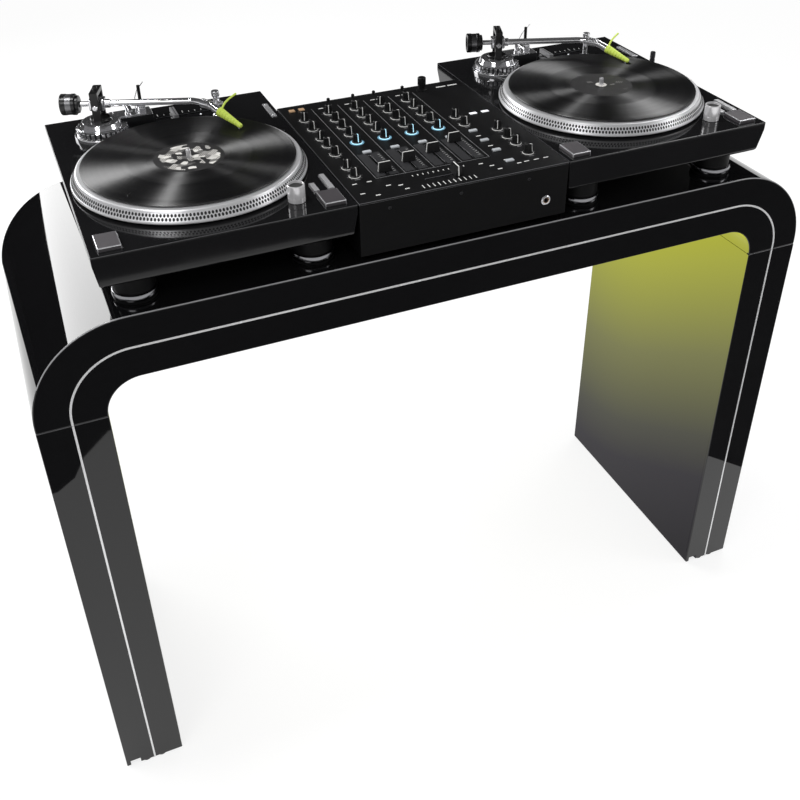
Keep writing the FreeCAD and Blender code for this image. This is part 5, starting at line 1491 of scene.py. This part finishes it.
@dataclass
class Mixer:
    """The four-channel mixer between the decks."""

    strips: tuple[float, ...] = (-92.0, -47.0, -2.0, 43.0)
    knob_rows: tuple[float, ...] = (132.0, 100.5, 69.0, 37.5)
    left_column: tuple[float, ...] = (119.0, 80.0, 40.0, 11.9, -22.3, -72.9, -103.0)
    right_column: tuple[float, ...] = (-36.1, -69.2, -96.0, -133.2)
    effect_rows: tuple[float, ...] = (33.9, 1.1)
    left_side: float = -137.0
    right_side: float = 124.0
    effect_side: float = 85.5
    tall_back: float = 165.2
    fader_row: float = -78.0
    filter_row: float = 6.0
    skirt_radius: float = 8.0
    skirt_height: float = 2.5
    body_radius: float = 6.4
    body_top_radius: float = 5.5
    body_top: float = 15.0
    rib_count: int = 16
    knob_turns: tuple[int, ...] = (-20, 8, -35, 15, 30, -12, 5, -28, 22, -5, 40, -18, 12, -40, 0, 26)
    separators: tuple[int, ...] = (-112, -67, -22, 22, 66)
    small_marks: tuple[Pair, ...] = (
        (-150, -128), (-128, -128), (-150, -160), (-132, -172), (-108, -150), (-92, -156),
        (-88, -170), (40, -140), (52, -152), (58, -166), (80, -142), (92, -160))
    nut_columns: tuple[int, ...] = (-76, -33, 4, 56)
    nut_row: float = 180.0
    gold_columns: tuple[int, ...] = (-144, -128)
    gold_row: float = 163.0
    foot_height: float = 9.4
    jack: Pair = (127.5, 932.6)
    screw_columns: tuple[int, ...] = (-118, -10, 98)
    screw_height: float = 972.0

    def __post_init__(self) -> None:
        """Takes the mixer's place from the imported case."""
        low, high = box("mixer_case")
        self.low, self.high = low, high
        self.middle = (low.y + high.y) / 2
        self.top = box("mixer_faceplate")[1].z

    def on_plate(self, x: float, y: float, turn: float = 0.0) -> Matrix:
        """Gives a place on the faceplate, with Y from the mixer's middle."""
        return place(x, self.middle + y, self.top, turn)

    def build(self) -> None:
        """Models the mixer group by group and hands each piece to the frame."""
        # Painted shade: the case takes the darker copy of the faceplate's black.
        case = softened("mixer_case", "mixer_shell", 0.7, CASE_BLACK_SHADED)
        fit(case, "booth", "mixer_black", "mixer_case")
        # Painted highlight: the faceplate's edge rounding gets a lighter grey.
        plate = softened("mixer_faceplate", "mixer_top_plate", 0.5, MIXER_BLACK, PLATE_EDGE_HIGHLIGHT)
        fit(plate, "booth", "mixer_black", "mixer_faceplate")
        self.build_knobs()
        self.build_filters()
        self.build_faders()
        self.build_buttons()
        self.build_print()
        self.build_front()
        tall = self.foot_height
        foot = lathe("foot", [(0, 0), (9, 0), (10, 1), (10, tall - 1), (9, tall), (0, tall)], 24)
        low, high = self.low, self.high
        corners = [place(x, y, low.z - tall)
                   for x in (low.x + 30, high.x - 30) for y in (low.y + 40, high.y - 40)]
        fit(dress(repeat(foot, "mixer_feet", corners), RUBBER), "booth", "foot_rubber", "foot_pads")
        keep("panel_sockets", SOCKET)
        keep("circuit_boards", BOARD)

    def knob(self, name: str, glow: Finish) -> Solid:
        """Models a knob with a bright skirt ring, grip ribs and a pointer; a white ring is a painted
        highlight.

        Args:
            name: Name of the knob.
            glow: Finish of its ring and pointer: white ink, where the ring is a painted highlight and the
                pointer is print, or blue lamp light.

        Returns:
            The knob at the origin, its pointer towards -Y.
        """
        wide, tall = self.skirt_radius, self.body_top
        profile = [(0, 0), (wide - 0.4, 0), (wide - 0.1, 0.4), (wide - 0.1, self.skirt_height - 0.5),
                   (wide - 0.6, self.skirt_height), (self.body_radius, self.skirt_height + 0.5),
                   (self.body_top_radius, tall - 0.7), (self.body_top_radius - 0.7, tall),
                   (self.body_top_radius - 1.4, tall - 0.3), (0, tall - 0.3)]
        body = lathe(name, profile, 32)
        inner, lean = self.body_radius - 0.3, self.body_top_radius - self.body_radius
        corners = [(inner, -0.35, 3.2), (self.body_radius + 0.15, 0, 3.2), (inner, 0.35, 3.2)]
        rib = prism("rib", corners, (lean, 0, 10.6))
        step = 360 / self.rib_count
        ribs = repeat(rib, "ribs", [place(0, 0, 0, index * step) for index in range(self.rib_count)])
        dark = dress(join([body, ribs], name), CAP_BLACK)
        profile = [(wide - 1.0, 0.05), (wide + 0.4, 0.05), (wide + 0.6, 0.4), (wide + 0.4, 1.2),
                   (wide - 1.0, 1.2), (wide - 1.0, 0.05)]
        # The ring round the skirt's foot takes the finish given; in white ink it is a painted highlight of
        # the skirt's edge.
        ring = lathe("ring", profile, 32)
        outline = [(-0.55, -1.0, tall - 0.35), (-0.55, -self.body_top_radius, tall + 0.15),
                   (-0.55, -self.body_radius - 0.45, self.skirt_height + 0.6),
                   (-0.55, -self.body_radius + 0.3, self.skirt_height + 0.6),
                   (-0.55, 1 - self.body_top_radius, tall - 1.2), (-0.55, -1.0, tall - 1.2)]
        pointer = prism("pointer", outline, (1.1, 0, 0))
        bright = dress(join([ring, pointer], "bright"), glow)
        return join([dark, bright], name)

    def knob_spots(self) -> list[Pair]:
        """Gives the places of the fixed knobs.

        Returns:
            X and Y of each knob, with Y from the mixer's middle.
        """
        spots = [(x, y) for y in self.knob_rows for x in self.strips]
        spots += [(self.left_side, y) for y in self.left_column]
        spots += [(self.right_side, y) for y in self.right_column]
        return spots + [(self.effect_side, y) for y in self.effect_rows]

    def build_knobs(self) -> None:
        """Models the fixed knobs, with their pointers turned in many ways."""
        turns = self.knob_turns
        places = [self.on_plate(x, y, turns[index % len(turns)])
                  for index, (x, y) in enumerate(self.knob_spots())]
        # Painted highlight: the fixed knobs' skirt rings are white ink, in place of the light on their
        # edges; their pointers are print.
        knobs = repeat(self.knob("knob", INK), "mixer_knobs", places)
        profile = [(0, 0), (9, 0), (9, 1.6), (8.4, 2), (6, 2.4), (6, 8), (7, 9), (7, 21), (6, 22), (0, 22)]
        tall = lathe("tall", profile, 32)
        settle(dress(tall, CAP_BLACK), self.on_plate(self.effect_side, self.tall_back))
        fit(join([knobs, tall], "mixer_knobs"), "booth", "cap_black", "rotary_knobs")

    def build_filters(self) -> None:
        """Models the four turning filter knobs with their blue light, and the blue light painted on the
        plate round them.
        """
        for number in range(1, 5):
            node = f"channel_{number}_filter"
            low, high = box(node)
            knob = self.knob(node + "_knob", BLUE)
            settle(knob, place((low.x + high.x) / 2, (low.y + high.y) / 2, self.top))
            fit(knob, node, "cap_black", node)
        wide = self.skirt_radius
        near, far = wide + 0.7, wide + 3
        # Painted light: a flat ring on the plate round each filter knob glows blue.
        halo = lathe("halo", [(near, -0.1), (far, -0.1), (far, 0.12), (near, 0.2), (near, -0.1)], 32)
        light_rings = repeat(halo, "filter_halos", [self.on_plate(x, self.filter_row) for x in self.strips])
        fit(dress(light_rings, BLUE_PAINTED_LIGHT), "booth", "button_grey")

    def build_faders(self) -> None:
        """Rounds the fader caps and lays a white line over each."""
        for node in [f"channel_{number}_fader" for number in range(1, 5)] + ["crossfader"]:
            cap = softened(node, node + "_cap", 0.6, CAP_BLACK)
            fit(cap, node, "cap_black", node)
            low, high = box(node)
            half = max(high.x - low.x, high.y - low.y) / 2
            foot = self.top + 0.6 - high.z
            top_half = half - 14 * math.tan(math.radians(6))
            side = [(-half - 0.1, foot), (-top_half - 0.1, 0.15), (top_half + 0.1, 0.15),
                    (half + 0.1, foot), (half - 0.6, foot), (top_half - 0.6, -0.6), (0.6 - top_half, -0.6),
                    (0.6 - half, foot)]
            line = prism(node + "_line", [(-0.9, y, z) for y, z in side], (1.8, 0, 0))
            turn = 0 if node == "crossfader" else 90
            settle(line, place((low.x + high.x) / 2, (low.y + high.y) / 2, high.z, turn))
            fit(dress(shade(line), INK), node, "button_grey")

    def build_buttons(self) -> None:
        """Rounds the push buttons."""
        buttons = softened("cue_buttons", "mixer_buttons", 1.0, BUTTON)
        fit(buttons, "booth", "button_grey", "cue_buttons")

    def build_print(self) -> None:
        """Lays panels, separators, scales and small marks on the faceplate."""
        panels, inks, greys, lamps = [], [], [], []
        for x in self.strips:
            y = self.fader_row
            panels.append(self.plate_mark(x - 17, y - 40, x - 3.2, y + 40, 0.25))
            panels.append(self.plate_mark(x + 3.2, y - 40, x + 17, y + 40, 0.25))
            for index in range(11):
                mark = y - 30 + index * 6
                inks.append(self.plate_mark(x + 12, mark - 0.25, x + 15.5, mark + 0.25, 0.35))
        for x in self.separators:
            greys.append(self.plate_mark(x - 0.35, -122, x + 0.35, 160, 0.2))
        greys.append(self.plate_mark(self.separators[0], -122.4, self.separators[-1], -121.7, 0.2))
        for index in range(11):
            x = -62 + index * 8
            inks.append(self.plate_mark(x - 0.6, -178, x + 0.6, -168, 0.2))
            inks.append(self.plate_mark(x - 0.6, -137, x + 0.6, -133, 0.2))
        for x in self.strips:
            inks.append(self.plate_mark(x - 9, 156, x - 1, 158, 0.2))
            inks.append(self.plate_mark(x + 2, 156, x + 8, 158, 0.2))
        for x, y in self.small_marks:
            inks.append(self.plate_mark(x, y, x + 7, y + 2.2, 0.2))
        for x in (112, 133):
            inks.append(self.plate_mark(x, 163, x + 17, 166, 0.4))
            lamps.append(self.plate_mark(x, 33, x + 12, 39, 0.8))
        for x, y in ((self.effect_side, -48), (self.effect_side, -88),
                     (self.right_side, -158), (108, -158), (140, -158)):
            inks.append(self.plate_mark(x - 4, y - 1, x + 4, y + 1, 0.2))
        for pieces, name, finish, slot in ((panels, "fader_panels", PANEL_GREY, "mixer_black"),
                                           (inks, "plate_marks", INK, "button_grey"),
                                           (greys, "strip_separators", GREY_INK, "button_grey"),
                                           (lamps, "display_keys", WHITE_LAMP, "button_grey")):
            fit(dress(join(pieces, name), finish), "booth", slot)
        self.build_ticks()
        gold = slab("gold_square", (-4.5, -4.5, 0), (4.5, 4.5, 2.2), 0.7)
        gold = repeat(gold, "gold_squares", [self.on_plate(x, self.gold_row) for x in self.gold_columns])
        fit(dress(gold, GOLD), "booth", "button_grey")
        nut = lathe("nut", [(0, 6), (2.2, 6), (2.8, 5.2), (2.8, 1), (3.6, 0.6), (3.6, 0), (0, 0)], 20)
        nuts = repeat(nut, "back_edge_nuts", [self.on_plate(x, self.nut_row) for x in self.nut_columns])
        fit(dress(nuts, CAP_BLACK), "booth", "cap_black")

    def build_ticks(self) -> None:
        """Lays a scale of short ticks round every fixed knob and a bar under it."""
        tick = slab("tick", (-0.35, 9.3, -0.1), (0.35, 11.6, 0.15), 0.08, 1)
        ring = repeat(tick, "ring", [place(0, 0, 0, angle) for angle in range(-135, 136, 45)])
        bar = slab("bar", (-4.0, -12.2, -0.1), (4.0, -10.6, 0.15), 0.08, 1)
        scale = join([ring, bar], "scale")
        scales = repeat(scale, "knob_scales", [self.on_plate(x, y) for x, y in self.knob_spots()])
        fit(dress(scales, GREY_INK), "booth", "button_grey")

    def plate_mark(self, x: float, y: float, end_x: float, end_y: float, height: float) -> Solid:
        """Makes a thin raised mark on the faceplate, with Y from the mixer's middle."""
        low = (x, self.middle + y, self.top - 0.1)
        return slab("mark", low, (end_x, self.middle + end_y, self.top + height), 0.08, 1)

    def build_front(self) -> None:
        """Adds the jack's ring and the screws on the mixer's front."""
        facing = Matrix.Rotation(math.radians(90), 4, "X")
        front = self.low.y
        profile = [(3.6, 0), (7.4, 0), (7.4, 1.2), (6.4, 2.0), (4.6, 2.0), (3.6, 1.4), (3.6, 0)]
        ring = dress(lathe("headphone_ring", profile, 32), KEY_EDGE)
        paint(ring, BRONZE, lambda middle, normal: math.hypot(middle.x, middle.y) < 4.4)
        fit(settle(ring, place(self.jack[0], front, self.jack[1]) @ facing), "booth", "socket_dark")
        head = lathe("screw", [(0, 0.4), (0.8, 0.4), (1.0, 0.9), (2.0, 0.8), (2.6, 0.2), (2.6, -0.3)], 16)
        spots = [place(x, front, self.screw_height) @ facing for x in self.screw_columns]
        screws = repeat(head, "front_screws", spots)
        fit(dress(screws, ARM_DARK), "booth", "fastener_steel")


@dataclass
class Studio:
    """Camera, floor, flags and lamps."""

    eye: Triple = (-0.5781, -1.3723, 1.6053)
    right: Triple = (0.918200036, -0.396013286, -0.009064781)
    down: Triple = (-0.227127019, -0.507594363, -0.831120497)
    ahead: Triple = (0.324533527, 0.765193727, -0.556018480)
    lens: float = 45.49
    shift: Pair = (-0.0102, -0.0946)
    floor_half: float = 40.0
    ambient: float = 0.62
    card_lift: float = 2.0
    front_card: tuple[Pair, ...] = (
        (-1100, -950), (-653, -989), (-608, -1024), (-578, -1088), (-504, -1165), (100, -1165),
        (789, -485), (834, -423), (1750, -1150), (2100, -1500), (2300, -2120), (-1100, -2120))
    back_panel: tuple[Pair, Pair] = ((-4500, 1700), (-700, 2640))
    tent_radius: float = 9000.0
    tent_foot: float = 1900.0
    tent_height: float = 4600.0
    gobos: tuple[tuple[str, float, tuple[Pair, ...]], ...] = (
        ("overhead_gobo", 1577, ((-612, 58), (-413, -35), (-367, 65), (-566, 158))),
        ("right_gobo", 1715, ((517, 258), (837, 258), (837, 658), (517, 658))))

    def build(self) -> None:
        """Sets up the studio."""
        self.add_camera()
        self.add_floor()
        self.add_flags()
        self.add_lamps()
        self.add_world()
        bpy.context.scene.view_settings.view_transform = "Standard"

    def add_camera(self) -> None:
        """Adds the camera where the photograph was taken from."""
        bpy.ops.object.camera_add()
        camera = bpy.context.object
        right, down, ahead = Vector(self.right), Vector(self.down), Vector(self.ahead)
        turned = Matrix((right, -down, -ahead)).transposed().to_4x4()
        camera.matrix_world = Matrix.Translation(self.eye) @ turned
        camera.data.lens = self.lens
        camera.data.shift_x, camera.data.shift_y = self.shift
        bpy.context.scene.camera = camera

    def seen(self, tree: bpy.types.NodeTree) -> Any:
        """Tells rays that are seen from rays that only light.

        Args:
            tree: The node tree.

        Returns:
            A socket with 1 on rays from the camera, a reflection or a clear body.
        """
        path = wire(tree, "ShaderNodeLightPath", {}).outputs
        seen = sums(tree, "MAXIMUM", path["Is Camera Ray"], path["Is Glossy Ray"])
        return sums(tree, "MAXIMUM", seen, path["Is Transmission Ray"])

    def add_floor(self) -> None:
        """Adds the plain white floor, which keeps the booth's shadow."""
        bpy.ops.mesh.primitive_plane_add(size=2 * self.floor_half)
        floor = bpy.context.object
        floor.name = "studio_floor"
        material = bpy.data.materials.new("studio_floor_white")
        material.use_nodes = True
        tree = material.node_tree
        tree.nodes.clear()
        colours = [{"Color": (level, level, level, 1)} for level in (0.8, 0.3)]
        plain, shadow = (wire(tree, "ShaderNodeBsdfDiffuse", colour).outputs[0] for colour in colours)
        white = wire(tree, "ShaderNodeEmission", {"Color": (1, 1, 1, 1), "Strength": 0.78}).outputs[0]
        bright = wire(tree, "ShaderNodeAddShader", {0: shadow, 1: white}).outputs[0]
        mixed = wire(tree, "ShaderNodeMixShader", {0: self.seen(tree), 1: plain, 2: bright}).outputs[0]
        wire(tree, "ShaderNodeOutputMaterial", {"Surface": mixed})
        floor.data.materials.append(material)

    def flag(self, name: str, points: Sequence[Triple], height: float, finish: Finish) -> Solid:
        """Stands a panel in the studio that shows in reflections alone, or lays it down.

        Args:
            name: Name of the panel.
            points: Its foot line in millimetres, or its outline where the height is 0.
            height: Its height in millimetres.
            finish: Its cloth.

        Returns:
            The panel.
        """
        panel = chain(name, points)
        with editing(panel):
            if height:
                bpy.ops.mesh.extrude_edges_move(TRANSFORM_OT_translate={"value": (0, 0, height * MM)})
            else:
                bpy.ops.mesh.edge_face_add()
        self.hide_flag(panel, finish)
        return panel

    def hide_flag(self, panel: Solid, finish: Finish) -> None:
        """Gives a panel its cloth and lets only reflections see it.

        Args:
            panel: The panel.
            finish: Its cloth.
        """
        dress(panel, finish)
        for ray in ("camera", "diffuse", "shadow", "transmission"):
            setattr(panel, "visible_" + ray, False)

    def add_flags(self) -> None:
        """Sets the tent and panels that shape the gloss, and the two that only shade a lamp."""
        black = Finish("flag_black_cloth", (20, 20, 21), 1.0, specular=0.0)
        card = Finish("flag_dark_card", (70, 70, 72), 1.0, specular=0.0)
        grey = Finish("flag_grey_cloth", (128, 128, 130), 1.0, specular=0.0)
        (left, front), (right, back) = self.back_panel
        corners = [(left, front), (right, front), (right, back), (left, back)]
        self.flag("front_card", [(x, y, self.card_lift) for x, y in self.front_card], 0, card)
        self.flag("back_card", [(x, y, self.card_lift) for x, y in corners], 0, black)
        self.flag("back_flag", [(left, back, 0), (right, back, 0)], 1640, black)
        wall = [(x, y, 900.0) for x, y in arc((0, 0), 6000, 104, 20, 16)]
        self.flag("back_wall", wall, 7000, black)
        roof = [(self.tent_radius, 6500), (self.tent_radius, 9000), (0, 11000)]
        self.hide_flag(lathe("dark_roof", roof, 48), black)
        tents = (("grey_tent", 150, 400, 40, grey), ("dark_tent", 40, 150, 20, black))
        for name, start, end, steps, cloth in tents:
            ring = arc((0, 0), self.tent_radius, start, end, steps)
            self.flag(name, [(x, y, self.tent_foot) for x, y in ring], self.tent_height, cloth)
        for name, height, corners in self.gobos:
            gobo = self.flag(name, [(x, y, height) for x, y in corners], 0, black)
            gobo.visible_shadow, gobo.visible_glossy = True, False

    def lamp(self, name: str, spot: Triple, aim: Triple, size: Pair, power: float) -> None:
        """Adds a soft lamp.

        Args:
            name: Name of the lamp.
            spot: Its place in metres.
            aim: The point that it faces.
            size: Its width and height in metres.
            power: Its power in watts.
        """
        bpy.ops.object.light_add(type="AREA", location=spot)
        lamp = bpy.context.object
        lamp.name = name
        lamp.rotation_euler = (Vector(aim) - Vector(spot)).to_track_quat("-Z", "Y").to_euler()
        lamp.data.shape = "RECTANGLE"
        lamp.data.size, lamp.data.size_y = size
        lamp.data.energy = power
        lamp.visible_camera = False

    def add_lamps(self) -> None:
        """Adds the soft lamps round the booth."""
        self.lamp("shoulder_softbox", (-1.7, 2.6, 2.2), (-0.7, 0, 0.95), (1.9, 1.1), 48)
        self.lamp("front_left_softbox", (-1.62, -1.43, 2.46), (-0.34, 0, 1.0), (0.9, 0.7), 10)
        self.lamp("front_right_softbox", (2.3, -1.3, 2.15), (0.34, 0, 1.0), (0.9, 0.7), 10)
        self.lamp("overhead_softbox", (-0.95, -0.03, 2.9), (-0.34, 0, 1.0), (0.25, 0.25), 15)
        self.lamp("right_softbox", (1.7, 0.95, 2.42), (0.34, 0, 1.0), (0.6, 0.6), 9)

    def add_world(self) -> None:
        """Adds the white surroundings, with a plain level of fill light."""
        world = bpy.data.worlds.new("studio_world")
        bpy.context.scene.world = world
        world.use_nodes = True
        tree = world.node_tree
        tree.nodes.clear()
        strength = sums(tree, "MULTIPLY_ADD", self.seen(tree), 1 - self.ambient, self.ambient)
        sky = wire(tree, "ShaderNodeBackground", {"Color": (1, 1, 1, 1), "Strength": strength}).outputs[0]
        wire(tree, "ShaderNodeOutputWorld", {"Surface": sky})


def main() -> None:
    """Builds the studio, the stand, the decks and the mixer in order."""
    logging.basicConfig(level=logging.INFO, format="%(name)s: %(message)s")
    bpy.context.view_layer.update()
    Studio().build()
    stand = Stand()
    stand.build()
    stand.finish()
    Deck("deck_a", replace(LABEL, name="deck_a_label")).build()
    Deck("deck_b", replace(LABEL, name="deck_b_label", share=0.95, hub=9.0)).build()
    keep("base_pans", PAN)
    keep("drive_motors", MOTOR)
    Mixer().build()


if __name__ == "__main__":
    main()
